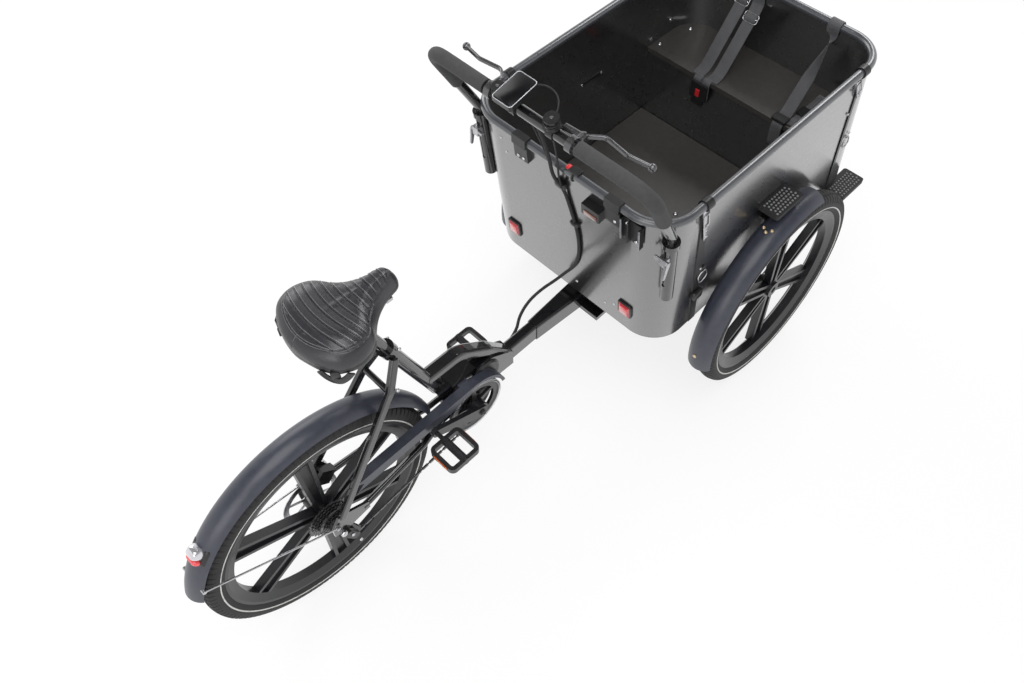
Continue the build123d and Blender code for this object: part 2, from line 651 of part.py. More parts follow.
# Chain cover: a channel over the upper run, an arc round the chainring and a notched tail
cover_y0, cover_y1 = CHAIN_COVER_Y
cover_skin = cover_y0 + CHAIN_COVER_T
skirt_in = GUARD_RING_R + COVER_CLEAR
cover_top = BB_Z + CHAIN_COVER_R
tail_x = CHAIN_COVER_END_X
tail_top = REAR_R + rear_chain_r + CHAIN_COVER_RISE
ahead_of_ring = block(bb_x, bb_x + 2 * CHAIN_COVER_R, cover_y0, cover_y1, BB_Z + GUARD_RING_R / 4, cover_top)
cover = (ring_y(CHAIN_COVER_R, CHAIN_COVER_R - CHAIN_COVER_T, cover_y0, cover_y1, *bb)
         + ring_y(CHAIN_COVER_R, skirt_in, cover_y0, cover_skin, *bb)) & ahead_of_ring
cover += plate_y([(tail_x, tail_top), (bb_x, cover_top), (bb_x, cover_top - CHAIN_COVER_T), (tail_x, tail_top - CHAIN_COVER_T)],
                 cover_y0, cover_y1)
skirt = plate_y([(tail_x, tail_top), (bb_x, cover_top), (bb_x, cover_top - CHAIN_COVER_SKIRT), (tail_x, tail_top - CHAIN_COVER_SKIRT),
                 (tail_x + CHAIN_COVER_NOTCH, tail_top - CHAIN_COVER_SKIRT / 2)], cover_y0, cover_skin)
cover += skirt - disc_y(skirt_in, cover_y0, cover_skin, *bb)
cover += block(bb_x - 30, bb_x, cover_y1, -CRADLE_HALF_W, cover_top - 4 * CHAIN_COVER_T, cover_top)
pieces["chain_cover"] = cover

# Crank set: spindle, two arms, toothed chainring, its guard ring and spider
spindle_end = CRANK_Y + CRANK_W / 2
ring_r = tip_radius(RING_TEETH)
ring_inner = ring_r - RING_BAND
ring_y0 = CHAIN_Y - RING_T / 2
ring_y1 = CHAIN_Y + RING_T / 2
guard_y = CHAIN_Y - GUARD_OUT
cranks = disc_y(SPINDLE_R, -spindle_end, spindle_end, *bb)
cranks += sheet_y(Pos(*bb) * (sprocket(RING_TEETH, ring_r) - Circle(ring_inner)), ring_y0, ring_y1)
cranks += ring_y(GUARD_RING_R, ring_inner, guard_y, guard_y + GUARD_RING_T, *bb)
cranks += ring_y(ring_r - 2 * TOOTH_H, ring_inner, guard_y, ring_y1, *bb)
cranks += disc_y(CRANK_ROOT_R + 6, -CRANK_Y, ring_y1, *bb)
spider_arm = plate_y([(-9, SPINDLE_R), (9, SPINDLE_R), (6, ring_inner + 3), (-6, ring_inner + 3)], guard_y, ring_y1)
for k in range(RING_ARMS):
    cranks += Pos(bb_x, 0, BB_Z) * Rot(0, 360 / RING_ARMS * k, 0) * spider_arm
eyes = []
for side, angle in ((-1, CRANK_ANGLE), (1, CRANK_ANGLE + 180)):
    eye = (bb_x + CRANK_L * cos(radians(angle)), BB_Z + CRANK_L * sin(radians(angle)))
    y0, y1 = side * CRANK_Y - CRANK_W / 2, side * CRANK_Y + CRANK_W / 2
    cranks += link_y(bb, eye, CRANK_ROOT_R, CRANK_EYE_R, y0, y1)
    tip = side * (PEDAL_Y + PEDAL_W / 2 - PEDAL_FRAME - 2)
    cranks += disc_y(PEDAL_AXLE_R, min(y0, tip), max(y1, tip), *eye)
    eyes.append((side, eye))
pieces["crank_set"] = cranks

# Pedals: a rounded frame with a barrel on the pedal axle
for name, (side, eye) in zip(("right_pedal", "left_pedal"), eyes):
    inner_y = PEDAL_Y - PEDAL_W / 2
    outer_y = PEDAL_Y + PEDAL_W / 2
    opening = RectangleRounded(PEDAL_L - 2 * PEDAL_FRAME, PEDAL_W - 2 * PEDAL_FRAME, PEDAL_FRAME / 2)
    cage = extrude(RectangleRounded(PEDAL_L, PEDAL_W, PEDAL_CORNER_R) - opening, PEDAL_T / 2, both=True)
    body = Pos(eye[0], side * PEDAL_Y, eye[1]) * cage
    body += disc_y(PEDAL_AXLE_R + PEDAL_BARREL_T, *sorted((side * inner_y, side * outer_y)), *eye)
    bore = sorted((side * inner_y, side * (outer_y - PEDAL_FRAME)))
    pieces[name] = body - disc_y(PEDAL_AXLE_R + RUN_FIT, *bore, *eye)

# Front wheels and fenders, on axles that lean by the camber
crown_half = FRONT_TYRE_W / 2 * TYRE_SECTION[-1][0]
front_axle_z = FRONT_R * cos(radians(CAMBER)) + crown_half * sin(radians(CAMBER))
LEFT_AXLE = Pos(front_axle_x, track_half, front_axle_z) * Rot(CAMBER, 0, 0)
front_bore = STUB_R + RUN_FIT
front_disc_y = FRONT_HUB[0] - DISC_T
left_wheel = {
    "front_tyre": tyre(FRONT_R, FRONT_TYRE_W),
    "front_cast_wheel": cast_wheel(FRONT_R, FRONT_HUB, front_bore, FRONT_SPOKE_Y),
    "front_brake_disc": brake_disc(front_disc_y, front_bore),
    "front_fender": fender(FRONT_R, FRONT_FENDER_W, FRONT_FENDER_SPAN),
}
for name, piece in left_wheel.items():
    pieces[name + "_left"] = LEFT_AXLE * piece
    pieces[name + "_right"] = mirrored(LEFT_AXLE * piece)


# Load box
def wall_lean(z, rake):
    """How far a wall has leaned forward at a height below the rim."""
    return rake * (BOX_TOP_Z - z) / (BOX_TOP_Z - BOX_FOOT_Z)


def rear_wall(z):
    """X of the rear wall's outside at a height."""
    return box_rear_top + wall_lean(z, BOX_REAR_RAKE)


def front_wall(z):
    """X of the front wall's outside at a height."""
    return box_front_top + wall_lean(z, BOX_FRONT_RAKE)


def outline(z, inset):
    """Rounded outline of the box at a height, drawn in by an inset."""
    x0 = rear_wall(z) + inset
    x1 = front_wall(z) - inset
    return Pos((x0 + x1) / 2, 0, z) * RectangleRounded(x1 - x0, 2 * (BOX_HALF_W - inset), BOX_CORNER_R - inset)


def seam(top_x, z):
    """X of a seam at a height."""
    return top_x + SEAM_LEAN * (BOX_TOP_Z - z)


def tray(z0, z1, inset):
    """Slab that fills the box between two heights."""
    return loft([outline(z0, inset), outline(z1, inset)], ruled=True)


LOW, HIGH = BOX_FOOT_Z - BOX_WALL, BOX_TOP_Z + BOX_WALL
FAR = 3000
seam_rear_x = box_rear_top + SEAM_REAR
seam_front_x = box_front_top - SEAM_FRONT
box_form = tray(LOW, HIGH, 0)
tub = tray(BOX_FOOT_Z, BOX_TOP_Z, 0) - tray(LOW, HIGH, BOX_WALL)
behind = plate_y([(0, LOW), (seam(seam_rear_x, LOW), LOW), (seam(seam_rear_x, HIGH), HIGH), (0, HIGH)], -FAR, FAR)
ahead = plate_y([(FAR, LOW), (seam(seam_front_x, LOW), LOW), (seam(seam_front_x, HIGH), HIGH), (FAR, HIGH)], -FAR, FAR)
sides = tub - behind - ahead
pieces["box_rear_panel"] = tub & behind
pieces["box_front_panel"] = tub & ahead
pieces["box_left_panel"] = sides & block(0, FAR, 0, FAR, LOW, HIGH)
pieces["box_right_panel"] = sides & block(0, FAR, -FAR, 0, LOW, HIGH)
bench_front_x = box_front_top - BENCH_DEPTH
pieces["bench_top"] = tray(BENCH_Z - BENCH_T, BENCH_Z, BOX_WALL) & block(bench_front_x, FAR, -FAR, FAR, LOW, HIGH)
board_x = bench_front_x + BENCH_NOSE
inner_half = BOX_HALF_W - BOX_WALL
board_slot = block(board_x - FLOOR_CLEAR, board_x + BENCH_BOARD_T, -FAR, FAR, LOW, HIGH)
deck_z = FLOOR_Z - FLOOR_T
pieces["box_floor"] = tray(deck_z, FLOOR_Z, BOX_WALL + FLOOR_CLEAR) - board_slot
pieces["bench_board"] = block(board_x, board_x + BENCH_BOARD_T, -inner_half, inner_half, deck_z, BENCH_Z - BENCH_T)
battery_x = board_x + BENCH_BOARD_T + BATTERY_BEHIND
pieces["battery"] = block(battery_x, battery_x + BATTERY[0], -BATTERY[1] / 2, BATTERY[1] / 2, FLOOR_Z, FLOOR_Z + BATTERY[2])

# Rim tube with its clamps over the seams, and strips that cover the seams
rim_z = BOX_TOP_Z + RIM_RISE
rim_path = outline(rim_z, 0).wire()


def rim_form(radius):
    """Round bar along the rim."""
    return sweep(Plane(origin=rim_path @ 0, z_dir=rim_path % 0) * Circle(radius), path=rim_path)


rim_solid = rim_form(RIM_TUBE_R)
pieces["rim_tube"] = rim_solid - tub
clamps = []
for x in (seam_rear_x, seam_front_x):
    clamp = rod((x - RIM_CLAMP_L / 2, BOX_HALF_W, rim_z), (x + RIM_CLAMP_L / 2, BOX_HALF_W, rim_z), RIM_CLAMP_R)
    clamps.append(both(clamp - rim_solid - tub))
pieces["rim_clamps"] = group(*clamps)
# Seam strips on the outside of the box: (seam, half width)
strip_z0 = BOX_FOOT_Z + 4
strip_z1 = rim_z - RIM_CLAMP_R - 4
strips = []
for x, half in ((seam_rear_x, 13), (seam_front_x, 5)):
    strips.append(both(plate_y([(seam(x, strip_z0) - half, strip_z0), (seam(x, strip_z0) + half, strip_z0),
                                (seam(x, strip_z1) + half, strip_z1), (seam(x, strip_z1) - half, strip_z1)],
                               BOX_HALF_W, BOX_HALF_W + SEAM_STRIP_T)))
pieces["seam_strips"] = group(*strips)

# Carriage frame under the box: rails, cross members, pivot plate, king pin, axle beam and stub axles
deck_foot = deck_z - RAIL_W
rail_rear_x = rear_wall(deck_foot) + RAIL_END
rail_front_x = front_wall(deck_z) - BOX_WALL - RAIL_END
axle_end_y = track_half - AXLE_END_IN
beam_z = front_axle_z - AXLE_BEAM_DROP
pin_foot = PIVOT_FOOT_Z - KING_PIN_HEAD_H
# End plate from the front axle: (ahead, up)
END_PLATE = ((-94, -17), (-94, 33), (-19, 35), (23, 23), (23, -31), (-29, -31))
carriage = block(rail_rear_x, rail_front_x, RAIL_Y - RAIL_W / 2, RAIL_Y + RAIL_W / 2, deck_foot, deck_z)
carriage += mirrored(carriage)
for x in (rail_rear_x + CROSS_END, front_axle_x, rail_front_x - CROSS_END):
    carriage += block(x - RAIL_W / 2, x + RAIL_W / 2, -inner_half, inner_half, deck_foot, deck_z)
carriage += block(rail_rear_x, rail_rear_x + RAIL_W, -RAIL_Y, RAIL_Y, deck_foot, deck_z)
carriage += block(pivot_x - PIVOT_PLATE_L / 2, pivot_x + PIVOT_PLATE_L / 2, -RAIL_Y - RAIL_W / 2, RAIL_Y + RAIL_W / 2,
                  PIVOT_TOP_Z + FACE_GAP, deck_foot)
carriage += rod((pivot_x, 0, pin_foot), (pivot_x, 0, deck_foot), KING_PIN_R)
carriage += rod((pivot_x, 0, pin_foot), (pivot_x, 0, PIVOT_FOOT_Z - FACE_GAP), KING_PIN_HEAD_R)
carriage += rod((front_axle_x, -axle_end_y, beam_z), (front_axle_x, axle_end_y, beam_z), AXLE_BEAM_R)
leg = block(front_axle_x - AXLE_LEG_L / 2, front_axle_x + AXLE_LEG_L / 2, RAIL_Y - AXLE_LEG_W / 2, RAIL_Y + AXLE_LEG_W / 2,
            beam_z, deck_foot)
end_plate = plate_y([(front_axle_x + x, front_axle_z + z) for x, z in END_PLATE], axle_end_y - END_PLATE_T, axle_end_y)
stub = LEFT_AXLE * disc_y(STUB_R, axle_end_y - track_half - STUB_IN, FRONT_HUB[1] - STUB_IN)
carriage += leg + end_plate + stub
carriage += mirrored(leg + end_plate + stub)
pieces["carriage_frame"] = carriage

# Front brake calipers on the axle end plates
caliper_out = FRONT_SPOKE_Y - SPOKE_DEPTH / 2 - FRONT_CALIPER_CLEAR
caliper = LEFT_AXLE * caliper_over(front_disc_y, -2 * AXLE_END_IN, caliper_out, FRONT_CALIPER_L, -90)
pieces["front_calipers"] = both(largest(caliper - block(0, FAR, -FAR, axle_end_y, 0, FAR)))

# Steps on the box sides and the brackets that hold the fenders
STEP_W = 57
STEP_T = 14
STEP_CORNER_R = 8
STEP_L = 112
STEP_BACK = 107
STEP_ABOVE = 52
STEP_LOW = 20
STEP_CLEAR = 10
STEP_FRONT_IN = 18
over_x = front_axle_x - STEP_BACK
low_x0 = front_axle_x + FRONT_R - STEP_CLEAR
low_x1 = front_wall(BOX_FOOT_Z) - STEP_FRONT_IN
step_y = BOX_HALF_W + (STEP_W - BOX_WALL) / 2
steps = []
for x0, x1, z in ((over_x, over_x + STEP_L, front_axle_z + FRONT_R + STEP_ABOVE), (low_x0, low_x1, BOX_FOOT_Z + STEP_LOW)):
    plan = Pos((x0 + x1) / 2, step_y, z) * RectangleRounded(x1 - x0, STEP_W + BOX_WALL, STEP_CORNER_R)
    steps.append(both(largest(extrude(plan, STEP_T) - box_form)))
pieces["steps"] = group(*steps)
BRACKET_TURN = -12
BRACKET_W = 30
BRACKET_T = 8
bracket_foot = FRONT_R + FENDER_GAP + BRACKET_T / 2
bracket = block(-BRACKET_W / 2, BRACKET_W / 2, -WHEEL_OUT - 2 * BOX_WALL, 2 * FENDER_T - FRONT_FENDER_W / 2,
                bracket_foot, bracket_foot + BRACKET_T)
bracket = LEFT_AXLE * Rot(0, BRACKET_TURN, 0) * bracket
pieces["fender_brackets"] = both(largest(bracket - box_form - pieces["front_fender_left"]))


# Handlebar posts on the rear corners of the box, the bar between them and its grips
def post_point(z):
    """Middle of the left post at a height."""
    reach = BOX_CORNER_R + POST_R + POST_STAND_OFF
    return (rear_wall(z) + BOX_CORNER_R + reach * cos(radians(POST_ANGLE)),
            BOX_HALF_W - BOX_CORNER_R + reach * sin(radians(POST_ANGLE)), z)


post_top_z = BOX_TOP_Z - POST_DROP
post_foot_z = post_top_z - POST_L
bar_x = box_rear_top - BAR_BEHIND
bar_z = BOX_TOP_Z + BAR_RISE
collar = rod(post_point(post_top_z - POST_COLLAR_L), post_point(post_top_z), POST_R + POST_COLLAR_WALL)
post = rod(post_point(post_foot_z), post_point(post_top_z), POST_R) + (collar - tray(LOW, HIGH, -POST_STAND_OFF))
slit_top = Vector(*post_point(post_top_z)) - Vector(POST_R, 0, 0)
slit_foot = Vector(*post_point(post_top_z - POST_SLIT_L)) - Vector(POST_R, 0, 0)
post -= rod(post_point(post_foot_z + POST_SOLID), post_point(post_top_z + 1), BAR_R + POST_FIT)
post -= flat_bar(tuple(slit_foot), tuple(slit_top), POST_SLIT_W, POST_R, 1)
post -= rod(tuple(slit_foot - Vector(POST_R, 0, 0)), tuple(slit_foot + Vector(POST_R / 2, 0, 0)), POST_EYE_R)
pieces["handlebar_posts"] = both(largest(post))
bar_left = [post_point(post_top_z - BAR_IN_POST), post_point(post_top_z + BAR_LEG_RISE),
            (bar_x, BOX_HALF_W + BAR_OUT, bar_z)]
bar_points = bar_left + [(x, -y, z) for x, y, z in reversed(bar_left)]
pieces["handlebar"] = tube_along(bar_points, [BAR_KNEE_R, BAR_BEND_R, BAR_BEND_R, BAR_KNEE_R], BAR_R)
leg_top, leg_foot = Vector(*bar_left[2]), Vector(*bar_left[1])
grip_points = [(bar_x, GRIP_START_Y, bar_z), bar_left[2], tuple(leg_top + (leg_foot - leg_top) * GRIP_SHARE)]
grip = tube_along(grip_points, BAR_BEND_R, GRIP_R) - tube_along(grip_points, BAR_BEND_R, BAR_R + POST_FIT)
pieces["grips"] = both(grip)

# Quick releases on the posts, brake levers, display and controls on the bar
QUICK_DROP = 55
QUICK_BEHIND = 8
QUICK_EAR_W = 20
QUICK_EAR_H = 24
QUICK_PIN_R = 5
QUICK_PIN_IN = 24
QUICK_PIN_OUT = 16
QUICK_LEVER_L = 44
QUICK_LEVER_LEAN = 6
QUICK_LEVER_RS = (7, 4)
qr_z = post_top_z - QUICK_DROP
qx, qy = post_point(qr_z)[:2]
quick_x = qx - POST_R - QUICK_BEHIND
quick = block(quick_x - QUICK_PIN_R, qx, qy - QUICK_EAR_W / 2, qy + QUICK_EAR_W / 2, qr_z - QUICK_EAR_H / 2, qr_z + QUICK_EAR_H / 2)
quick += rod((quick_x, qy - QUICK_PIN_IN, qr_z), (quick_x, qy + QUICK_PIN_OUT, qr_z), QUICK_PIN_R)
quick += link_y((quick_x, qr_z), (quick_x - QUICK_LEVER_LEAN, qr_z - QUICK_LEVER_L), *QUICK_LEVER_RS,
                qy + QUICK_PIN_OUT - QUICK_PIN_R, qy + QUICK_PIN_OUT)
pieces["post_clamps"] = both(largest(quick - rod(post_point(post_foot_z), post_point(post_top_z), POST_R + POST_FIT)))
# Lever blade from the bar at the lever's place: (ahead, out, up)
LEVER_BLADE = ((34, 2, 0), (62, 34, -1), (56, 96, -4), (68, 150, -8))
LEVER_BEND_R = 24
LEVER_CLAMP_WALL = 6
LEVER_CLAMP_L = 16
LEVER_PERCH_L = 36
LEVER_PERCH_R = 10
# Fluid cylinder along the bar: (ahead, out) at its two ends, and its radius
CYLINDER = ((26, -46), (30, 10))
CYLINDER_R = 9
LEVER_EDGE_R = 3
LEVER_BALL_R = 9.1
clamp_bore = BAR_R + POST_FIT
blade = FilletPolyline(*[(bar_x + x, LEVER_Y + y, bar_z + z) for x, y, z in LEVER_BLADE], radius=LEVER_BEND_R)
blade_start = Plane(origin=blade @ 0, x_dir=(0, 0, 1), z_dir=blade % 0)
lever = ring_y(BAR_R + LEVER_CLAMP_WALL, clamp_bore, LEVER_Y - LEVER_CLAMP_L / 2, LEVER_Y + LEVER_CLAMP_L / 2, bar_x, bar_z)
lever += rod((bar_x + BAR_R + LEVER_CLAMP_WALL / 2, LEVER_Y, bar_z), (bar_x + LEVER_PERCH_L, LEVER_Y, bar_z), LEVER_PERCH_R)
lever += rod(*[(bar_x + ahead, LEVER_Y + out, bar_z) for ahead, out in CYLINDER], CYLINDER_R)
lever += sweep(blade_start * RectangleRounded(LEVER_H, LEVER_T, LEVER_EDGE_R), path=blade)
lever += Pos(*(blade @ 1)) * Sphere(LEVER_BALL_R)
pieces["brake_levers"] = both(lever)
DISPLAY = (84, 56, 13)
DISPLAY_Y = 42
DISPLAY_TILT = -12
DISPLAY_RISE = 36
DISPLAY_BACK = 2
DISPLAY_CORNER_R = 8
DISPLAY_CLAMP_WALL = 5
DISPLAY_CLAMP_L = 16
DISPLAY_STEM = 12
screen = extrude(RectangleRounded(DISPLAY[0], DISPLAY[1], DISPLAY_CORNER_R), DISPLAY[2])
screen = Pos(bar_x - DISPLAY_BACK, DISPLAY_Y, bar_z + DISPLAY_RISE) * Rot(0, DISPLAY_TILT, 0) * screen
screen += ring_y(BAR_R + DISPLAY_CLAMP_WALL, clamp_bore, DISPLAY_Y - DISPLAY_CLAMP_L / 2, DISPLAY_Y + DISPLAY_CLAMP_L / 2,
                 bar_x, bar_z)
stem_half = DISPLAY_STEM / 2
screen += block(bar_x - stem_half, bar_x + stem_half, DISPLAY_Y - stem_half, DISPLAY_Y + stem_half,
                bar_z + BAR_R + DISPLAY_BACK, bar_z + DISPLAY_RISE + DISPLAY[2] / 3)
pieces["display"] = screen
# Controls on the bar: (y, drum radius, drum height)
CONTROLS = ((91, 13, 18), (-62, 17, 28))
CONTROL_CLAMP_WALL = 3
CONTROL_CLAMP_L = 18
CONTROL_LEAN = 6
controls = []
for y, drum_r, drum_h in CONTROLS:
    knob = ring_y(BAR_R + CONTROL_CLAMP_WALL, clamp_bore, y - CONTROL_CLAMP_L / 2, y + CONTROL_CLAMP_L / 2, bar_x, bar_z)
    drum_foot = bar_z + BAR_R + CONTROL_CLAMP_WALL / 3
    controls.append(knob + rod((bar_x, y, drum_foot), (bar_x - CONTROL_LEAN, y, bar_z + BAR_R + drum_h), drum_r))
pieces["bar_controls"] = group(*controls)


# Rear wall: reflectors, rim brackets, a lamp box and a ribbed plate
def on_rear_wall(y, drop, width, height, depth):
    """Block on the outside of the leaning rear wall, its middle at a drop below the rim."""
    z = BOX_TOP_Z - drop
    face = Plane((rear_wall(z), y, z), x_dir=(0, 1, 0), z_dir=(-1, 0, -BOX_REAR_RAKE / (BOX_TOP_Z - BOX_FOOT_Z)))
    return extrude(face * Rectangle(width, height), depth)


REFLECTOR = (36, 44, 9)
REFLECTOR_EDGE = 3
REFLECTOR_IN = 12
REFLECTOR_DROP = 400
wall_half = BOX_HALF_W - BOX_CORNER_R
reflector = on_rear_wall(wall_half - REFLECTOR_IN, REFLECTOR_DROP, *REFLECTOR)
pieces["rear_reflectors"] = both(chamfer(reflector.faces().sort_by(Axis.X)[0].edges(), REFLECTOR_EDGE))
RIM_BRACKETS = (0.58, -0.775)
RIM_BRACKET = (44, 52, 12)
RIM_BRACKET_DROP = 30
RIM_BRACKET_LIP = 5
bracket_half = RIM_BRACKET[0] / 2
rim_cut = rim_form(RIM_TUBE_R + REST)
rim_x = rear_wall(rim_z)
brackets = []
for share in RIM_BRACKETS:
    y = share * wall_half
    hook = on_rear_wall(y, RIM_BRACKET_DROP, *RIM_BRACKET)
    hook += block(rim_x - RIM_TUBE_R - RIM_BRACKET_LIP, rim_x + RIM_BRACKET_LIP, y - bracket_half, y + bracket_half,
                  rim_z - RIM_TUBE_R, rim_z + RIM_TUBE_R + RIM_BRACKET_LIP)
    brackets.append(largest(hook - rim_cut - box_form))
pieces["rim_brackets"] = group(*brackets)
LAMP_BOX = (54, 34, 22)
LAMP_DROP = 61
pieces["lamp_box"] = on_rear_wall(-wall_half / 2, LAMP_DROP, *LAMP_BOX)
RIBBED = (58, 72, 4)
RIB_DEPTH = 14
RIBS = (-0.46, 0.12, 0.46)
RIBBED_DROP = 50
RIBBED_OUT = 6
ribbed_y = -wall_half - RIBBED_OUT
ribbed = on_rear_wall(ribbed_y, RIBBED_DROP, *RIBBED)
for share in RIBS:
    ribbed += on_rear_wall(ribbed_y + share * RIBBED[0], RIBBED_DROP, RIBBED[2], RIBBED[1], RIB_DEPTH)
pieces["ribbed_plate"] = ribbed

# Cable loom down the rear wall, and its free span to the left side of the beam
LOOM_R = 4.5
LOOM_REST = 0.4
loom_side = BEAM_W / 2 + LOOM_R + LOOM_REST
# Loom from the bar to the wall: (ahead of the bar, y, below the bar); then down the wall: (y, below the rim)
LOOM_TOP = ((36, 26, 46), (56, 20, 106), (68, 10, 168))
LOOM_WALL = ((-8, 64), (-30, 138), (-48, 214), (-48, 294), (-30, 366), (-14, 394))
LOOM_STEP_OFF = 26
# Span from the foot of the loom to the beam: (back from the wall's foot, y, above the beam)
SPAN = ((17, 2, 110), (37, 22, 74), (77, 36, 58), (123, 42, 40), (163, 38, 12))
SPAN_END = ((189, 1, -14), (221, 0, -30))


def on_loom_line(y, drop):
    """Middle of the loom where it lies on the rear wall."""
    z = BOX_TOP_Z - drop
    return (rear_wall(z) - LOOM_R - LOOM_REST, y, z)


def corner_radii(points):
    """Arc at each corner of a route: 0.45 of the shorter run over the tangent of half the turn."""
    radii = []
    for a, b, c in zip(points, points[1:], points[2:]):
        before, after = Vector(*b) - Vector(*a), Vector(*c) - Vector(*b)
        half_turn = radians(before.get_angle(after) / 2)
        radii.append(0.45 * min(before.length, after.length) * cos(half_turn) / sin(half_turn))
    return radii


foot_x = rear_wall(BOX_FOOT_Z)
loom_points = [(bar_x + x, y, bar_z - drop) for x, y, drop in LOOM_TOP]
loom_points += [(rear_wall(BOX_TOP_Z) - LOOM_STEP_OFF, 2, BOX_TOP_Z - 14)] + [on_loom_line(y, drop) for y, drop in LOOM_WALL]
span_points = [loom_points[-1]] + [(foot_x - back, y, BEAM_TOP_Z + rise) for back, y, rise in SPAN]
span_points += [(foot_x - back, loom_side + off, BEAM_TOP_Z + rise) for back, off, rise in SPAN_END]
for name, points in (("cable_loom", loom_points), ("cable_span", span_points)):
    radii = corner_radii(points)
    print(name, "arcs", [round(r) for r in radii])
    pieces[name] = tube_along(points, radii, LOOM_R)

# Harness straps from the front wall down to the bench edge: (y, width)
STRAP_T = 3
STRAP_DROP = 24
STRAP_BEND_R = 30
STRAPS = ((118, 36), (70, 36), (-160, 36))
strap_z = BENCH_Z + REST + STRAP_T / 2
strap_top_z = BOX_TOP_Z - STRAP_DROP
strap_path = FilletPolyline((front_wall(strap_top_z) + 85, 0, strap_top_z + 95), (bench_front_x + 36, 0, strap_z),
                            (bench_front_x + 3, 0, strap_z), radius=STRAP_BEND_R)
box_inside = tray(LOW, HIGH, BOX_WALL + REST)
straps = []
for y, width in STRAPS:
    straps.append(largest((Pos(0, y, 0) * flat_along(strap_path, Rectangle(width, STRAP_T))) & box_inside))
pieces["harness_straps"] = group(*straps)

# Move the model so that X starts at the middle of its length, and write the pieces
low_x = min(p.bounding_box().min.X for p in pieces.values())
high_x = max(p.bounding_box().max.X for p in pieces.values())
middle = Pos(-(low_x + high_x) / 2, 0, 0)
print("middle of the length, forward of the rear axle:", round((low_x + high_x) / 2, 3))
os.makedirs("parts", exist_ok=True)
for name, piece in pieces.items():
    export_step(middle * piece, f"parts/{name}.step")
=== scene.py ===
"""Looks of an electric cargo trike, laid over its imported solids. Metres: +X forward, +Y left, +Z up."""
import json
import math

import bmesh
import bpy
import numpy as np
from mathutils import Matrix, Vector


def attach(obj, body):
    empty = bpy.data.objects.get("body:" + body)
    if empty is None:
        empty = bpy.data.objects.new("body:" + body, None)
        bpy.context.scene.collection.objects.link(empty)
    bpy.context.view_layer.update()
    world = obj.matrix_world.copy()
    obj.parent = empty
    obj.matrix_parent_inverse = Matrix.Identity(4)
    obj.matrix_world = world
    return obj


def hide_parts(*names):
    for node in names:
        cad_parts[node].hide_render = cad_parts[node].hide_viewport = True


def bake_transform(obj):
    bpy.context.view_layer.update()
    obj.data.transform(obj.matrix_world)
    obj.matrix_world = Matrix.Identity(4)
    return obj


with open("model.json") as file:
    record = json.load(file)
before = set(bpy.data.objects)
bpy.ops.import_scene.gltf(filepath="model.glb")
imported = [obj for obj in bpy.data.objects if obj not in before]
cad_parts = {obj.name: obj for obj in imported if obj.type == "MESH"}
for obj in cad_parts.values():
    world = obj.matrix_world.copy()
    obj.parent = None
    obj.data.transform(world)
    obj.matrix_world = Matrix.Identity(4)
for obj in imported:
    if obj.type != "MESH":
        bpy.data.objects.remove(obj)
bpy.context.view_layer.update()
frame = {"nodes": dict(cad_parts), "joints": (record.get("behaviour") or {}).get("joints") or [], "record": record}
nodes = frame["nodes"]
joints = {j["name"]: j for j in frame["joints"]}
scene = bpy.context.scene

# Places are written in millimetres forward of the rear axle, as the source has them; sizes of shapes in metres.
# REAR_X is the rear axle's place in the row frame
REAR_X = joints["rear_wheel_spin"]["pos_m"][0]
TO_ROW = np.array([REAR_X, 0.0, 0.0])
MM = 0.001
FORWARD, LEFT, RIGHT, UP = (1, 0, 0), (0, 1, 0), (0, -1, 0), (0, 0, 1)


def at(x, y, z):
    """Millimetres forward of the rear axle, left and up, as a point of the row frame."""
    return np.array([x * MM + REAR_X, y * MM, z * MM])


def linked(name, data):
    """New object of the scene that holds some data."""
    obj = bpy.data.objects.new(name, data)
    scene.collection.objects.link(obj)
    return obj


# Camera: a pinhole fitted to the photograph, given by its place and its three directions
CAMERA_AT = at(-254.32, -966.57, 2355.05)
CAMERA_RIGHT = (0.70997573, -0.70405274, -0.01562714)
CAMERA_UP = (0.59017232, 0.582737, 0.55867184)
CAMERA_BACK = (-0.38422793, -0.40586615, 0.82924156)
SENSOR_W, FOCAL = 36.0, 30.855
NEAREST, FARTHEST = 0.05, 60.0
camera_data = bpy.data.cameras.new("camera")
camera_data.sensor_width, camera_data.lens = SENSOR_W, FOCAL
camera_data.clip_start, camera_data.clip_end = NEAREST, FARTHEST
camera = linked("camera", camera_data)
camera_turn = Matrix((CAMERA_RIGHT, CAMERA_UP, CAMERA_BACK)).transposed().to_4x4()
camera.matrix_world = Matrix.Translation(CAMERA_AT) @ camera_turn
scene.camera = camera


# Shapes: each is (points, quads, many-sided faces) until it becomes a mesh
SLAB_STEPS = 7
SCREW_SIDES = 14
SCREW_PROFILE = np.array([(0.36, 0.35), (0.38, 0.98), (0.62, 0.92), (0.86, 0.66), (1.0, 0.25), (1.0, -0.2)])
ANY_HINT = (0.13, 0.21, 0.97)
EDGE_STEPS, EDGE_ANGLE = 2, math.radians(40)


def lattice(points, close_u=False, close_v=True, caps=False):
    """Grid of points, rows along u and columns along v, joined to quads, closed and capped where asked."""
    points = np.asarray(points, float)
    nu, nv = points.shape[:2]
    index = np.arange(nu * nv).reshape(nu, nv)
    if close_u:
        index = np.vstack([index, index[:1]])
    if close_v:
        index = np.hstack([index, index[:, :1]])
    quads = np.stack([index[:-1, :-1], index[1:, :-1], index[1:, 1:], index[:-1, 1:]], -1).reshape(-1, 4)
    ends = [np.arange(nv), np.arange(nu * nv - 1, nu * nv - nv - 1, -1)] if caps else []
    return points.reshape(-1, 3), quads, ends


def joined(shapes):
    """Several shapes as one."""
    points, quads, caps, start = [], [], [], 0
    for p, q, c in shapes:
        points.append(p)
        quads.append(q + start)
        caps += [face + start for face in c]
        start += len(p)
    return np.vstack(points), np.vstack(quads), caps


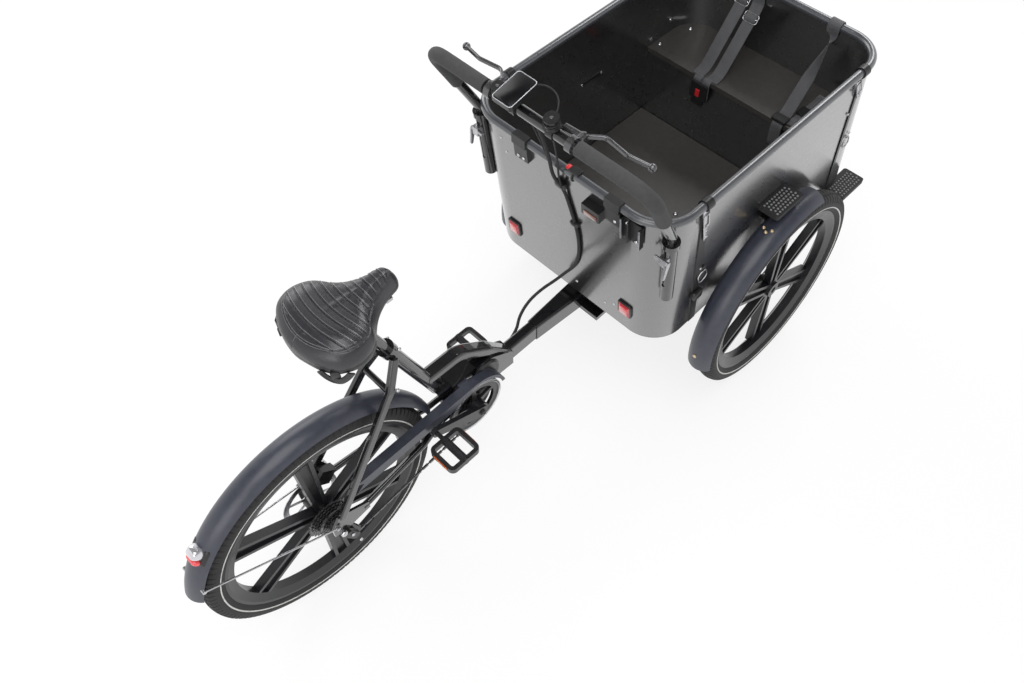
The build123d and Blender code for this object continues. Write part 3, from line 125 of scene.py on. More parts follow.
def mesh_object(name, shape, material, smooth=True, closed=True):
    """Mesh object of a shape in one finish; the faces of a closed one are turned outwards."""
    points, quads, caps = shape
    mesh = bpy.data.meshes.new(name)
    mesh.from_pydata(points.tolist(), [], quads.tolist() + [list(map(int, cap)) for cap in caps])
    if closed:
        work = bmesh.new()
        work.from_mesh(mesh)
        bmesh.ops.recalc_face_normals(work, faces=work.faces)
        work.to_mesh(mesh)
        work.free()
    mesh.polygons.foreach_set("use_smooth", np.full(len(mesh.polygons), smooth))
    mesh.update()
    mesh.materials.append(material)
    return linked(name, mesh)


def fit(name, shapes, slot, look=None, body="front_carriage", smooth=True, bevel=0.0):
    """Piece on a body, made of one shape or a list of them, in its slot's finish unless another look is named."""
    shape = joined(shapes) if isinstance(shapes, list) else shapes
    obj = mesh_object(name, shape, FINISHES[look or slot], smooth)
    if bevel:
        edge = obj.modifiers.new("edge", "BEVEL")
        edge.width, edge.segments = bevel, EDGE_STEPS
        edge.limit_method, edge.angle_limit = "ANGLE", EDGE_ANGLE
    if body:
        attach(obj, body)
    return obj


def unit(v):
    """Vectors cut to length one."""
    v = np.asarray(v, float)
    return v / np.maximum(np.linalg.norm(v, axis=-1, keepdims=True), 1e-12)


def directions(line, across):
    """Side and lift along a line: both square to its run, side as near the across vector as can be."""
    run = unit(np.gradient(line, axis=0))
    lift = unit(np.cross(run, np.asarray(across, float)))
    return unit(np.cross(lift, run)), lift


def carried(line, profile, across):
    """Profile of (side, lift) pairs carried along a line."""
    side, lift = directions(line, across)
    return line[:, None] + side[:, None] * profile[None, :, :1] + lift[:, None] * profile[None, :, 1:]


def turns(sides):
    """Even angles round one full turn."""
    return np.arange(sides) * 2 * np.pi / sides


def circle(radius, sides):
    """Round profile."""
    return np.stack([np.cos(turns(sides)), np.sin(turns(sides))], 1) * radius


def ring_about(a, b, sides):
    """Directions round one full turn, from a towards b."""
    return circle(1.0, sides) @ np.array([a, b])


def slab(width, thickness):
    """Flat profile with rounded edges: half circles at both ends of its width."""
    r = thickness / 2
    a = np.linspace(-np.pi / 2, np.pi / 2, SLAB_STEPS)
    right = np.stack([width / 2 - r + r * np.cos(a), r * np.sin(a)], 1)
    return np.vstack([right, -right])


def tube(line, radius, across, sides):
    """Round bar along a line, closed at both ends."""
    return lattice(carried(line, circle(radius, sides), across), caps=True)


def strip(line, width, thickness, across=LEFT):
    """Flat strap along a line, its width along the across vector."""
    return lattice(carried(line, slab(width, thickness), across), caps=True)


def frame_of(axis):
    """Two directions square to an axis and to each other, and the axis."""
    axis = unit(axis)
    a = unit(np.cross(axis, ANY_HINT))
    return a, np.cross(axis, a), axis


def lathe(profile, centre, axis, sides):
    """Profile of (radius, height) pairs turned about an axis through a centre."""
    a, b, c = frame_of(axis)
    profile = np.asarray(profile, float)
    ring = ring_about(a, b, sides)
    return lattice(centre + profile[:, None, :1] * ring[None] + profile[:, None, 1:] * c, caps=True)


def band(centre, axis, inner, outer, height, sides=64):
    """Flat ring about an axis: a rectangle turned round it."""
    a, b, c = frame_of(axis)
    profile = np.array([(inner, 0), (outer, 0), (outer, height), (inner, height)])
    ring = ring_about(a, b, sides)
    points = centre + profile[None, :, :1] * ring[:, None] + profile[None, :, 1:] * c
    return lattice(points, close_u=True)


def heads(points, axis, radius, height):
    """Like button-head screws, each a low dome with a round socket; radius and height in millimetres."""
    profile = SCREW_PROFILE * (radius * MM, height * MM)
    return joined([lathe(profile, point, axis, SCREW_SIDES) for point in points])


def screws(places, axis, radius, height):
    """Like screws at places in millimetres."""
    return heads([at(*place) for place in places], axis, radius, height)


def brick(centre, size, x_dir=FORWARD, z_dir=UP):
    """Block about a centre with its own length and up directions."""
    x = unit(x_dir)
    y = unit(np.cross(z_dir, x))
    signs = np.array([[i, j, k] for k in (-1, 1) for i, j in ((-1, -1), (1, -1), (1, 1), (-1, 1))])
    points = centre + (signs / 2.0 * size) @ np.array([x, y, np.cross(x, y)])
    quads = np.array([[0, 3, 2, 1], [4, 5, 6, 7], [0, 1, 5, 4], [1, 2, 6, 5], [2, 3, 7, 6], [3, 0, 4, 7]])
    return points, quads, []


def rounded(size, corner, steps=5):
    """Outline of a rectangle with round corners, as (across, along) pairs."""
    a = np.linspace(0, np.pi / 2, steps)
    arc = np.stack([np.cos(a), np.sin(a)], 1) * corner
    half = np.asarray(size, float) / 2 - corner
    signs = ((1, 1), (-1, 1), (-1, -1), (1, -1))
    turned = (arc, arc[::-1] * (-1, 1), -arc, arc[::-1] * (1, -1))
    return np.vstack([part + half * sign for part, sign in zip(turned, signs)])


def read(mesh, what="co"):
    """Points of a mesh, or their normals, as rows."""
    values = np.zeros(len(mesh.vertices) * 3)
    mesh.vertices.foreach_get(what, values)
    return values.reshape(-1, 3)


def moved(mesh, points):
    """Mesh with its points set anew."""
    mesh.vertices.foreach_set("co", points.ravel())
    mesh.update()
    return mesh


def smooth_line(route, steps=10):
    """Points along the smooth spline that has a route as its control points, read from the curve itself."""
    curve = bpy.data.curves.new("route", "CURVE")
    curve.dimensions = "3D"
    spline = curve.splines.new("NURBS")
    spline.points.add(len(route) - 1)
    spline.points.foreach_set("co", np.hstack([route, np.ones((len(route), 1))]).ravel())
    spline.order_u = 3
    spline.use_endpoint_u = True
    spline.resolution_u = steps
    holder = bpy.data.objects.new("route", curve)
    mesh = bpy.data.meshes.new_from_object(holder)
    line = read(mesh)
    bpy.data.objects.remove(holder)
    bpy.data.curves.remove(curve)
    bpy.data.meshes.remove(mesh)
    return line


def run_along(line):
    """Length run from the start of a line at each of its points."""
    return np.concatenate([[0], np.cumsum(np.linalg.norm(np.diff(line, axis=0), axis=1))])


def run_length(line):
    """Length of a line of points."""
    return float(run_along(line)[-1])


def at_runs(line, runs):
    """Points of a line at given runs from its start."""
    return np.stack([np.interp(runs, run_along(line), column) for column in line.T], 1)


# Finishes
RAMP_ENDS = (0.3, 0.7)
SOFT_GRAIN_SHARE = 1 / 20


def put(tree, kind, values=None, feeds=None, **own):
    """Adds a shader node with settings of its own, values for its inputs and the outputs that feed them."""
    node = tree.nodes.new("ShaderNode" + kind)
    for key, value in own.items():
        setattr(node, key, value)
    for socket, value in (values or {}).items():
        node.inputs[socket].default_value = value
    for socket, output in (feeds or {}).items():
        tree.links.new(output, node.inputs[socket])
    return node


def larger(tree, a, b):
    """The larger of two outputs."""
    return put(tree, "Math", feeds={0: a, 1: b}, operation="MAXIMUM").outputs["Value"]


def finish(name, colour, rough, grain, bump, metallic=0.0, vary=0.12, rough_vary=0.08, coat=0.0, coat_rough=0.1,
           coat_ior=1.5, specular=0.5, sheen=0.0, depth=0.0004, pattern=None):
    """Finish whose colour and roughness drift with a soft noise; its bump is a fine grain or a pattern."""
    mat = bpy.data.materials.new(name)
    mat.use_nodes = True
    tree = mat.node_tree
    shader = tree.nodes["Principled BSDF"]
    for socket, value in (("Metallic", metallic), ("Specular IOR Level", specular), ("Coat Weight", coat),
                          ("Coat Roughness", coat_rough), ("Coat IOR", coat_ior), ("Sheen Weight", sheen)):
        shader.inputs[socket].default_value = value
    place = put(tree, "TexCoord").outputs["Object"]
    soft = {"Scale": grain * SOFT_GRAIN_SHARE, "Detail": 4}
    drift = put(tree, "TexNoise", soft, {"Vector": place}).outputs["Fac"]
    tone = put(tree, "ValToRGB", feeds={"Fac": drift})
    for stop, position, share in zip(tone.color_ramp.elements, RAMP_ENDS, (1 - vary, 1 + vary)):
        stop.position = position
        stop.color = (*np.minimum(np.array(colour) * share, 1), 1)
    limits = {"To Min": max(rough - rough_vary, 0.02), "To Max": min(rough + rough_vary, 1.0)}
    spread = put(tree, "MapRange", limits, {"Value": drift})
    if pattern:
        height = pattern(tree, place)
    else:
        height = put(tree, "TexNoise", {"Scale": grain, "Detail": 3}, {"Vector": place}).outputs["Fac"]
    relief = put(tree, "Bump", {"Strength": bump, "Distance": depth}, {"Height": height})
    tree.links.new(tone.outputs["Color"], shader.inputs["Base Color"])
    tree.links.new(spread.outputs["Result"], shader.inputs["Roughness"])
    tree.links.new(relief.outputs["Normal"], shader.inputs["Normal"])
    return mat


def leather_cells(scale):
    """Pattern of small raised cells, as in embossed vinyl."""
    def make(tree, place):
        return put(tree, "TexVoronoi", {"Scale": scale}, {"Vector": place}).outputs["Distance"]
    return make


def weave(scale):
    """Pattern of crossing ribs, as in webbing: two waves along X and Y, the higher one on top."""
    def make(tree, place):
        values = {"Scale": scale, "Distortion": 0.6}
        waves = [put(tree, "TexWave", values, {"Vector": place}, bands_direction=axis) for axis in ("X", "Y")]
        return larger(tree, *(wave.outputs["Fac"] for wave in waves))
    return make


def prisms(scale):
    """Pattern of small square prisms under a lens: even cells by their largest distance, turned askew."""
    def make(tree, place):
        turn = put(tree, "Mapping", {"Rotation": (0.6, 0.5, 0.8)}, {"Vector": place})
        cells = put(tree, "TexVoronoi", feeds={"Vector": turn.outputs["Vector"]}, distance="CHEBYCHEV")
        cells.inputs["Scale"].default_value = scale
        cells.inputs["Randomness"].default_value = 0.0
        return cells.outputs["Distance"]
    return make


# Each look: colour, roughness, grain, bump and what else sets it apart
GLASSY = dict(coat=1.0, coat_rough=0.03)
LOOKS = {
    "gloss_black_paint": ((0.006, 0.006, 0.007), 0.22, 900, 0.02, dict(GLASSY, coat_ior=1.6, specular=0.3)),
    "satin_black_panel": ((0.012, 0.012, 0.013), 0.3, 1500, 0.03,
                          dict(coat=1.0, coat_rough=0.16, coat_ior=2.2, specular=1.0)),
    "film_board": ((0.04, 0.037, 0.034), 0.42, 1400, 0.4, dict(vary=0.14, specular=0.8)),
    "satin_rim": ((0.05, 0.053, 0.06), 0.28, 1100, 0.02,
                  dict(vary=0.05, rough_vary=0.02, coat=0.7, coat_rough=0.15, specular=0.8)),
    "tyre_rubber": ((0.022, 0.021, 0.021), 0.66, 900, 0.15, dict(specular=0.35)),
    "cast_black": ((0.012, 0.012, 0.014), 0.32, 1600, 0.08, dict(specular=0.6)),
    "navy_plastic": ((0.032, 0.035, 0.052), 0.42, 1200, 0.02, dict(coat=0.3, coat_rough=0.25)),
    "bare_steel": ((0.52, 0.52, 0.54), 0.28, 1400, 0.05, dict(metallic=1.0)),
    "black_rubber": ((0.02, 0.02, 0.021), 0.62, 1800, 0.22, dict(specular=0.35)),
    "black_vinyl": ((0.012, 0.012, 0.016), 0.36, 500, 0.22,
                    dict(specular=0.75, depth=0.0003, pattern=leather_cells(1100))),
    "black_plastic": ((0.011, 0.011, 0.012), 0.34, 1500, 0.06, {}),
    "red_lens": ((0.42, 0.012, 0.022), 0.16, 300, 0.6, dict(GLASSY, pattern=prisms(260))),
    "clear_lens": ((0.13, 0.13, 0.145), 0.15, 300, 0.5, dict(GLASSY, pattern=prisms(220))),
    "webbing": ((0.07, 0.071, 0.076), 0.7, 900, 0.6, dict(specular=0.4, sheen=0.2, pattern=weave(260))),
    "pale_line": ((0.62, 0.62, 0.6), 0.5, 700, 0.1, {}),
    "orange_lens": ((0.62, 0.13, 0.015), 0.18, 300, 0.5, dict(coat=1.0, coat_rough=0.04, pattern=prisms(240))),
    "screen_glass": ((0.004, 0.004, 0.005), 0.3, 300, 0.005, dict(specular=0.25)),
    "saddle_thread": ((0.16, 0.16, 0.17), 0.6, 2500, 0.3, {}),
    "red_plastic": ((0.55, 0.02, 0.025), 0.35, 1200, 0.05, {}),
    "amber_dark": ((0.16, 0.035, 0.012), 0.2, 300, 0.4, dict(coat=1.0, coat_rough=0.05, pattern=prisms(240))),
    "red_prism": ((0.72, 0.05, 0.06), 0.2, 300, 0.7, dict(GLASSY, pattern=prisms(300))),
    "zinc_yellow": ((0.62, 0.5, 0.33), 0.3, 1200, 0.06, dict(metallic=1.0)),
    "pale_bezel": ((0.62, 0.63, 0.66), 0.25, 1400, 0.03, dict(metallic=0.6)),
    "dark_steel": ((0.13, 0.13, 0.135), 0.3, 1400, 0.06, dict(metallic=0.9)),
    "chrome": ((0.6, 0.6, 0.62), 0.16, 700, 0.02, dict(metallic=1.0)),
    "grip_foam": ((0.045, 0.045, 0.046), 0.7, 2200, 0.3, dict(specular=0.4)),
    "lever_grey": ((0.14, 0.14, 0.145), 0.24, 1400, 0.04, dict(metallic=0.85)),
    # Light grey of the step studs: a painted highlight on their tips
    "painted_highlight_stud": ((0.2, 0.2, 0.205), 0.5, 1500, 0.1, {}),
    # Grey of the channel beads, lighter than the vinyl: a painted highlight along each lip
    "painted_highlight_lip": ((0.09, 0.09, 0.1), 0.26, 900, 0.05, dict(specular=0.8, coat=0.8, coat_rough=0.15)),
    "lamp_clear": ((0.62, 0.62, 0.65), 0.14, 300, 0.4, dict(GLASSY, metallic=0.7, pattern=prisms(180))),
}
FINISHES = {name: finish(name, *look, **more) for name, (*look, more) in LOOKS.items()}
OWN_LOOK = {"cassette": "dark_steel", "chain": "dark_steel", "grips": "grip_foam",
            "brake_levers": "lever_grey"}

slot_of = {s["node"]: s["material_slot"] for s in frame["record"]["subparts"]}
for node, obj in nodes.items():
    obj.data.materials.clear()
    obj.data.materials.append(FINISHES[OWN_LOOK.get(node, slot_of[node])])


# Cable loom down the rear wall and its free span to the beam; routes in metres forward of the rear axle
LOOM_D, WRAP_PITCH, WRAP_SIDES = 0.009, 0.006, 16
LOOM_ROUTE = np.array([
    (0.768, 0.026, 1.080), (0.788, 0.020, 1.020), (0.800, 0.010, 0.958), (0.805, 0.002, 0.900),
    (0.8336, -0.008, 0.850), (0.8423, -0.030, 0.776), (0.8512, -0.048, 0.700), (0.8606, -0.048, 0.620),
    (0.8691, -0.030, 0.548), (0.87236, -0.014, 0.520)])
SPAN_ROUTE = np.array([
    (0.87236, -0.014, 0.520), (0.872, 0.002, 0.492), (0.852, 0.022, 0.456), (0.812, 0.036, 0.440),
    (0.766, 0.042, 0.422), (0.726, 0.038, 0.394), (0.700, 0.0219, 0.368), (0.668, 0.0209, 0.352)])


def wrapped(line):
    """Cable in spiral wrap: a round bar whose radius rises in a band that winds once a pitch.

    The band is the cosine of angle less run, raised and clipped flat.
    """
    length = run_length(line)
    runs = np.linspace(0, length, max(60, int(length / (WRAP_PITCH / 6))))
    dense = at_runs(line, runs)
    wind = np.cos(turns(WRAP_SIDES)[None] - 2 * np.pi * runs[:, None] / WRAP_PITCH)
    radius = LOOM_D / 2 * (0.9 + 0.1 * np.clip(wind * 3 + 1.5, 0, 1))
    around = carried(dense, circle(1.0, WRAP_SIDES), LEFT) - dense[:, None]
    return lattice(dense[:, None] + radius[..., None] * around, caps=True)


loom_line = smooth_line(LOOM_ROUTE + TO_ROW)
span_line = smooth_line(SPAN_ROUTE + TO_ROW)
loom = fit("loom_wrap", wrapped(loom_line), "black_rubber")
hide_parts("cable_loom")
span = fit("span_wrap", wrapped(span_line), "black_rubber", body=None)
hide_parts("cable_span")
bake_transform(span)


# Tyres, in metres: radius, width, tread pitches round the tyre and the pale line's radius
REAR_TYRE, FRONT_TYRE = (0.335, 0.056, 112, 0.300), (0.317, 0.060, 106, 0.282)
TYRE_H, BEAD_W, CROWN_R, TREAD_SHARE, WIDEST_SHARE = 0.050, 0.042, 0.044, 0.74, 0.48
WALL_POINTS, CROWN_POINTS = 14, 25
TREAD_DEPTH, TREAD_REACH, BAR_END = 0.0022, 0.42, 1.45
PITCH_STEPS = np.array([0.0, 0.17, 0.172, 0.33, 0.5, 0.67, 0.828, 0.83])
LINE_BAND, LINE_SIDES = 0.0036, 120
LINE_STAND = np.array([-0.0002, 0.00035, 0.00035, -0.0002])


def through(a, b, c, count):
    """Points on the arc through three points of a plane."""
    a, b, c = (np.asarray(p, float) for p in (a, b, c))
    rows = np.array([b - a, c - a])
    mid = np.linalg.solve(2 * rows, (np.array([b, c]) ** 2).sum(1) - (a ** 2).sum())
    angle = np.unwrap([math.atan2(*(p - mid)[::-1]) for p in (a, b, c)])
    turn = angle[0] + (angle[2] - angle[0]) * np.linspace(0, 1, count)
    return mid + np.linalg.norm(a - mid) * np.stack([np.cos(turn), np.sin(turn)], 1)


def tyre_profile(radius, width):
    """Cross-section as (across, radius) pairs from bead to bead, and its outward normals."""
    bead = radius - TYRE_H
    half = width * TREAD_SHARE / 2
    shoulder = radius - CROWN_R + math.sqrt(CROWN_R ** 2 - half ** 2)
    widest = bead + TYRE_H * WIDEST_SHARE
    left = through((-BEAD_W / 2, bead), (-width / 2, widest), (-half, shoulder), WALL_POINTS)
    crown = through((-half, shoulder), (0, radius), (half, shoulder), CROWN_POINTS)
    right = left[::-1] * (-1, 1)
    line = np.vstack([left[:-1], crown, right[1:]])
    along = unit(np.gradient(line, axis=0))
    return line, np.stack([-along[:, 1], along[:, 0]], 1)


def tread(phase, across, half):
    """Groove depth share at a pitch phase and a place across.

    Shoulder bars, two zigzag grooves and middle sipes in a V: bands of the phase or of the share across.
    """
    share = np.abs(across) / half
    tent = np.abs(((phase + np.where(across < 0, 0.5, 0.0)) % 1) - 0.5) * 2
    bars = (tent < 0.34) & (share > 0.62) & (share < BAR_END)
    zigzag = np.abs(share - 0.52 - 0.05 * np.where(tent > 0.5, 1, -1)) < 0.07
    sipe = (np.abs(((phase + share * 0.55) % 1) - 0.5) * 2 < 0.2) & (share < 0.4)
    fade = np.clip((BAR_END - share) / 0.3, 0, 1)
    return np.where(bars, fade, 0) + np.where(zigzag & ~bars, 1.0, 0) + np.where(sipe & ~zigzag, 0.7, 0)


def wheel_axes(axis):
    """Forward, axle and up directions of a wheel."""
    y = unit(axis)
    x = unit(np.cross(y, UP))
    return x, y, np.cross(x, y)


def tyre_shape(radius, width, pitches, centre, axis):
    """Tyre: the cross-section turned about the axle, sunk along its normal by the tread's grooves."""
    line, normal = tyre_profile(radius, width)
    phase = (np.arange(pitches)[:, None] + PITCH_STEPS[None]).ravel()
    deepest = np.where(line[:, 1] > radius - TYRE_H * TREAD_REACH, TREAD_DEPTH, 0)
    depth = tread(phase[:, None], line[None, :, 0], width * TREAD_SHARE / 2) * deepest[None]
    across, out = (line[None, :, k] - depth * normal[None, :, k] for k in (0, 1))
    x, y, z = wheel_axes(axis)
    turn = phase[:, None] * 2 * np.pi / pitches
    points = (centre + across[..., None] * y + (out * np.cos(turn))[..., None] * x
              + (out * np.sin(turn))[..., None] * z)
    return lattice(points, close_u=True)


def side_lines(radius, width, line_radius, centre, axis):
    """Pale line on both sidewalls: a thin ring that stands on the cross-section between two radii."""
    wall = tyre_profile(radius, width)[0][:WALL_POINTS]
    x, y, z = wheel_axes(axis)
    ring = ring_about(x, z, LINE_SIDES)
    radii = line_radius + LINE_BAND * np.array([-0.5, -0.5, 0.5, 0.5])
    across = np.interp(radii, wall[:, 1], wall[:, 0]) - LINE_STAND
    flat = centre + radii[None, :, None] * ring[:, None]
    return joined([lattice(flat + side * across[None, :, None] * y, close_u=True) for side in (1, -1)])


for name, node, body, joint, (radius, width, pitches, line_radius) in (
        ("rear", "rear_tyre", "rear_wheel", "rear_wheel_spin", REAR_TYRE),
        ("front_left", "front_tyre_left", "front_wheel_left", "front_left_wheel_spin", FRONT_TYRE),
        ("front_right", "front_tyre_right", "front_wheel_right", "front_right_wheel_spin", FRONT_TYRE)):
    centre, axis = np.array(joints[joint]["pos_m"]), joints[joint]["axis"]
    tyre = fit(name + "_tread", tyre_shape(radius, width, pitches, centre, axis), "tyre_rubber", body=body,
               smooth=False)
    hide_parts(node)
    fit(name + "_pale_line", side_lines(radius, width, line_radius, centre, axis), "tyre_rubber", "pale_line", body)


# Saddle: outline in plan as in the source, by arcs through (share of the length, share of the half width)
SADDLE_TAIL, SADDLE_LONG, SADDLE_HALF, SADDLE_FOOT = 78.0, 267.0, 119.0, 946.0
SADDLE_MIDDLE = np.array([SADDLE_TAIL + 110, 0])
SADDLE_ARCS = (((0.13, -0.86), (0.0, 0.0), (0.13, 0.86)), ((0.13, 0.86), (0.33, 1.0), (0.5, 0.84)),
               ((0.5, 0.84), (0.67, 0.44), (0.9, 0.23)), ((0.9, 0.23), (1.0, 0.0), (0.9, -0.23)),
               ((0.9, -0.23), (0.67, -0.44), (0.5, -0.84)), ((0.5, -0.84), (0.33, -1.0), (0.13, -0.86)))
ARC_POINTS, EASE_ROUNDS = 40, 4
# Height of the crown along the saddle: (forward of the rear axle, up)
SADDLE_CROWN = np.array([(78, 990), (110, 1001), (150, 1002), (205, 996), (255, 994), (300, 998), (325, 995),
                         (345, 984)], float)
# Rows of the blank: shares of the way in from the outline under it, their lifts, and shares over it
UNDER_SHARES = np.array([0.96, 0.6, 0.3, 0.12, 0.05, 0.015, 0.0, 0.0])
UNDER_LIFTS = np.array([3, 3, 3, 2, 4, 9, 16, 24])
TOP_SHARES = np.array([0.01, 0.03, 0.06, 0.1, 0.16, 0.24, 0.34, 0.46, 0.6, 0.76, 0.9, 0.995])
BLANK_POINTS, BLANK_INSET, SPINE_REAR, SPINE_FRONT = 160, 3.0, 84, 28
SHOULDER_SHARE, SHOULDER_MOST = 0.9, 58.0
VOXEL, FILL_PRESSURE, FILL_FRAMES, FILL_LIMIT = 0.005, 4.0, 20, 0.005
CHANNEL_PITCH, CHANNEL_BOW, CHANNEL_DEPTH, SEAM_DEPTH = 17.5, 0.0019, 2.6, 1.5
PANEL_REAR, PANEL_FRONT, PANEL_SHARE = 24, 26, 0.84


def saddle_outline(count, inset=0.0):
    """Outline of the saddle in plan: arcs read at even steps along their run and eased by a running mean."""
    scale = np.array([SADDLE_LONG - 2 * inset, SADDLE_HALF - inset])
    arcs = [through(*(np.array(arc) * scale), ARC_POINTS)[:-1] for arc in SADDLE_ARCS]
    ring = np.vstack([*arcs, arcs[0][:1]]) + (SADDLE_TAIL + inset, 0)
    points = at_runs(ring, np.linspace(0, run_length(ring), count, endpoint=False))
    for _ in range(EASE_ROUNDS):
        points = (np.roll(points, 1, 0) + 2 * points + np.roll(points, -1, 0)) / 4
    return points


def saddle_blank():
    """Saddle before it is filled: rows from the outline in to a spine.

    A quarter ellipse is the shoulder, and the crown's height follows the length.
    """
    rim = saddle_outline(BLANK_POINTS, BLANK_INSET)
    spine_x = np.clip(rim[:, 0], SADDLE_TAIL + SPINE_REAR, SADDLE_TAIL + SADDLE_LONG - SPINE_FRONT)
    inwards = np.stack([spine_x, 0 * spine_x], 1) - rim
    depth = np.linalg.norm(inwards, axis=1)[:, None]
    plan = rim[:, None] + inwards[:, None] * np.concatenate([UNDER_SHARES, TOP_SHARES])[None, :, None]
    inward = np.clip(TOP_SHARES[None] * depth / np.minimum(depth * SHOULDER_SHARE, SHOULDER_MOST), 0, 1)
    crown = np.interp(plan[:, len(UNDER_SHARES):, 0], *SADDLE_CROWN.T) - SADDLE_FOOT
    wall = UNDER_LIFTS[-1]
    top = wall + (crown - wall) * np.sqrt(1 - (1 - inward) ** 2)
    lift = np.hstack([np.tile(UNDER_LIFTS, (len(rim), 1)), top])
    points = np.concatenate([plan, (SADDLE_FOOT + lift)[..., None]], 2) * MM + TO_ROW
    return lattice(points.transpose(1, 0, 2), caps=True)


def made(obj):
    """Mesh of an object with its modifiers worked in; the object goes."""
    mesh = bpy.data.meshes.new_from_object(obj.evaluated_get(bpy.context.evaluated_depsgraph_get()))
    bpy.data.objects.remove(obj)
    return mesh


def filled(mesh):
    """Blank swollen by cloth under pressure, each point's move cut to a limit and faded at the foot."""
    before = read(mesh)
    obj = linked("filling", mesh)
    cloth = obj.modifiers.new("cloth", "CLOTH")
    cloth.settings.use_pressure = True
    cloth.settings.uniform_pressure_force = FILL_PRESSURE
    cloth.settings.effector_weights.gravity = 0.0
    for k in range(1, FILL_FRAMES + 1):
        scene.frame_set(k)
    move = read(made(obj)) - before
    scene.frame_set(1)
    far = np.maximum(np.linalg.norm(move, axis=1, keepdims=True), 1e-9)
    held = np.clip((before[:, 2:] / MM - SADDLE_FOOT - 8) / 20, 0, 1)
    return moved(mesh, before + move / far * np.minimum(far, FILL_LIMIT) * held)


def with_modifier(mesh, kind, **settings):
    """Mesh taken through one modifier."""
    obj = linked("work", mesh)
    mod = obj.modifiers.new("work", kind)
    for key, value in settings.items():
        setattr(mod, key, value)
    bpy.context.view_layer.update()
    return made(obj)


saddle_half = saddle_outline(400)
saddle_half = saddle_half[saddle_half[:, 1] >= 0]
saddle_half = saddle_half[np.argsort(saddle_half[:, 0])]


def panel_half(x):
    """Half width of the channelled panel: the outline, drawn in and shortened at both ends."""
    stretch = SADDLE_LONG / (SADDLE_LONG - PANEL_REAR - PANEL_FRONT)
    along = SADDLE_TAIL + (x - SADDLE_TAIL - PANEL_REAR) * stretch
    return np.interp(along, saddle_half[:, 0], saddle_half[:, 1], left=0, right=0) * PANEL_SHARE


def channels(mesh):
    """Sewn channels: points sink along their normals at the panel's seam and at x - bow * y * y = k * pitch.

    Beside each channel a bell curve of the phase stands up as a lip.
    """
    co, normal = read(mesh), read(mesh, "normal")
    x, y = (co[:, 0] - REAR_X) / MM, co[:, 1] / MM
    inside = panel_half(x) - np.abs(y)
    panel = np.clip(inside / 5 + 0.5, 0, 1) * np.clip((normal[:, 2] - 0.15) * 5, 0, 1)
    phase = ((x - CHANNEL_BOW * y * y - SADDLE_TAIL) / CHANNEL_PITCH) % 1
    groove = np.abs(2 * phase - 1) ** 6
    lip = np.exp(-((phase - 0.14) / 0.05) ** 2) * 0.5
    seam = np.exp(-(inside / 2.0) ** 2) * np.clip((normal[:, 2] - 0.05) * 5, 0, 1)
    sink = panel * CHANNEL_DEPTH * groove - panel * lip + seam * SEAM_DEPTH
    return moved(mesh, co - normal * (sink * MM)[:, None])


blank = mesh_object("saddle_blank", saddle_blank(), FINISHES["black_vinyl"])
cover = with_modifier(made(blank), "REMESH", mode="VOXEL", voxel_size=VOXEL)
cover = filled(cover)
cover = channels(with_modifier(cover, "SUBSURF", levels=2, render_levels=2))
cover.polygons.foreach_set("use_smooth", np.full(len(cover.polygons), True))
cover.materials.clear()
cover.materials.append(FINISHES["black_vinyl"])
cover.name = "saddle_cover"
saddle = linked("saddle_cover", cover)
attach(saddle, "rear_frame")
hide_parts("saddle")


# Saddle base: a scalloped skirt, and a lug at each rear corner
SKIRT_POINTS, SKIRT_OUT, SKIRT_IN, SKIRT_TOP = 240, 5.0, 9.0, SADDLE_FOOT + 12
LIP_POINTS, LIP_INSET, LIP_TURN, LIP_REACH, LIP_DROP, LIP_OUT = 480, 3.0, 0.86, 0.27, 21.0, 1.0
LIP_TALL, LIP_THICK, WEB_DEEP, WEB_BACK = 0.018, 0.0045, 0.008, 0.003
SOFT_EDGE = 0.0008


def saddle_skirt():
    """Moulded base under the cover: a wall on the outline, its lower edge in scallops."""
    rim, inner = saddle_outline(SKIRT_POINTS, SKIRT_OUT), saddle_outline(SKIRT_POINTS, SKIRT_IN)
    angle = np.arctan2(rim[:, 1], SADDLE_MIDDLE[0] - rim[:, 0])
    side = np.clip((SADDLE_TAIL + 175 - rim[:, 0]) / 60, 0, 1)
    low = SADDLE_FOOT + 2 - side * (4 + 2 * np.cos(9 * angle))
    top = np.full(SKIRT_POINTS, SKIRT_TOP)
    rows = ((rim, top), (rim, low), (inner, low), (inner, top))
    points = np.stack([np.column_stack(row) for row in rows], 1) * MM + TO_ROW
    return lattice(points, close_u=True)


def saddle_lip(side):
    """Lug at a rear corner: a flat bar that leaves the outline by a parabola of angle, and its web."""
    rim = saddle_outline(LIP_POINTS, LIP_INSET)
    angle = np.arctan2(rim[:, 1] * side, SADDLE_MIDDLE[0] - rim[:, 0]) - LIP_TURN
    order = np.argsort(angle)[np.abs(np.sort(angle)) < LIP_REACH]
    share = (1 - (angle[order] / LIP_REACH) ** 2)[:, None]
    out = unit(rim[order] - SADDLE_MIDDLE)
    bar = np.hstack([rim[order] + out * LIP_OUT * share, SADDLE_FOOT - LIP_DROP * share]) * MM + TO_ROW
    half = len(bar) // 2
    out_here = np.array([*out[half], 0])
    spot = bar[half] + np.array([0, 0, LIP_DROP * 0.7 * MM]) - out_here * WEB_BACK
    web = brick(spot, (WEB_DEEP, LIP_TALL, LIP_DROP * MM * 1.2), out_here)
    return joined([strip(bar, LIP_TALL, LIP_THICK, across=UP), web])


fit("saddle_base", saddle_skirt(), "black_plastic", body="rear_frame", bevel=SOFT_EDGE)
fit("saddle_lip", [saddle_lip(1), saddle_lip(-1)], "black_plastic", body="rear_frame", bevel=SOFT_EDGE)

# Thread along the tail's seam, and a raised bead along each channel, its grey finish a painted highlight along the
# lip
STITCH_LONG, STITCH_R, SEAM_SHARES = 0.0026, 0.0005, (0.955, 0.915)
BEAD_R, BEAD_PHASE, BEAD_CLEAR, BEAD_LEAST = 0.0009, 0.15, 3.0, 8
OVER_SADDLE = 1.2


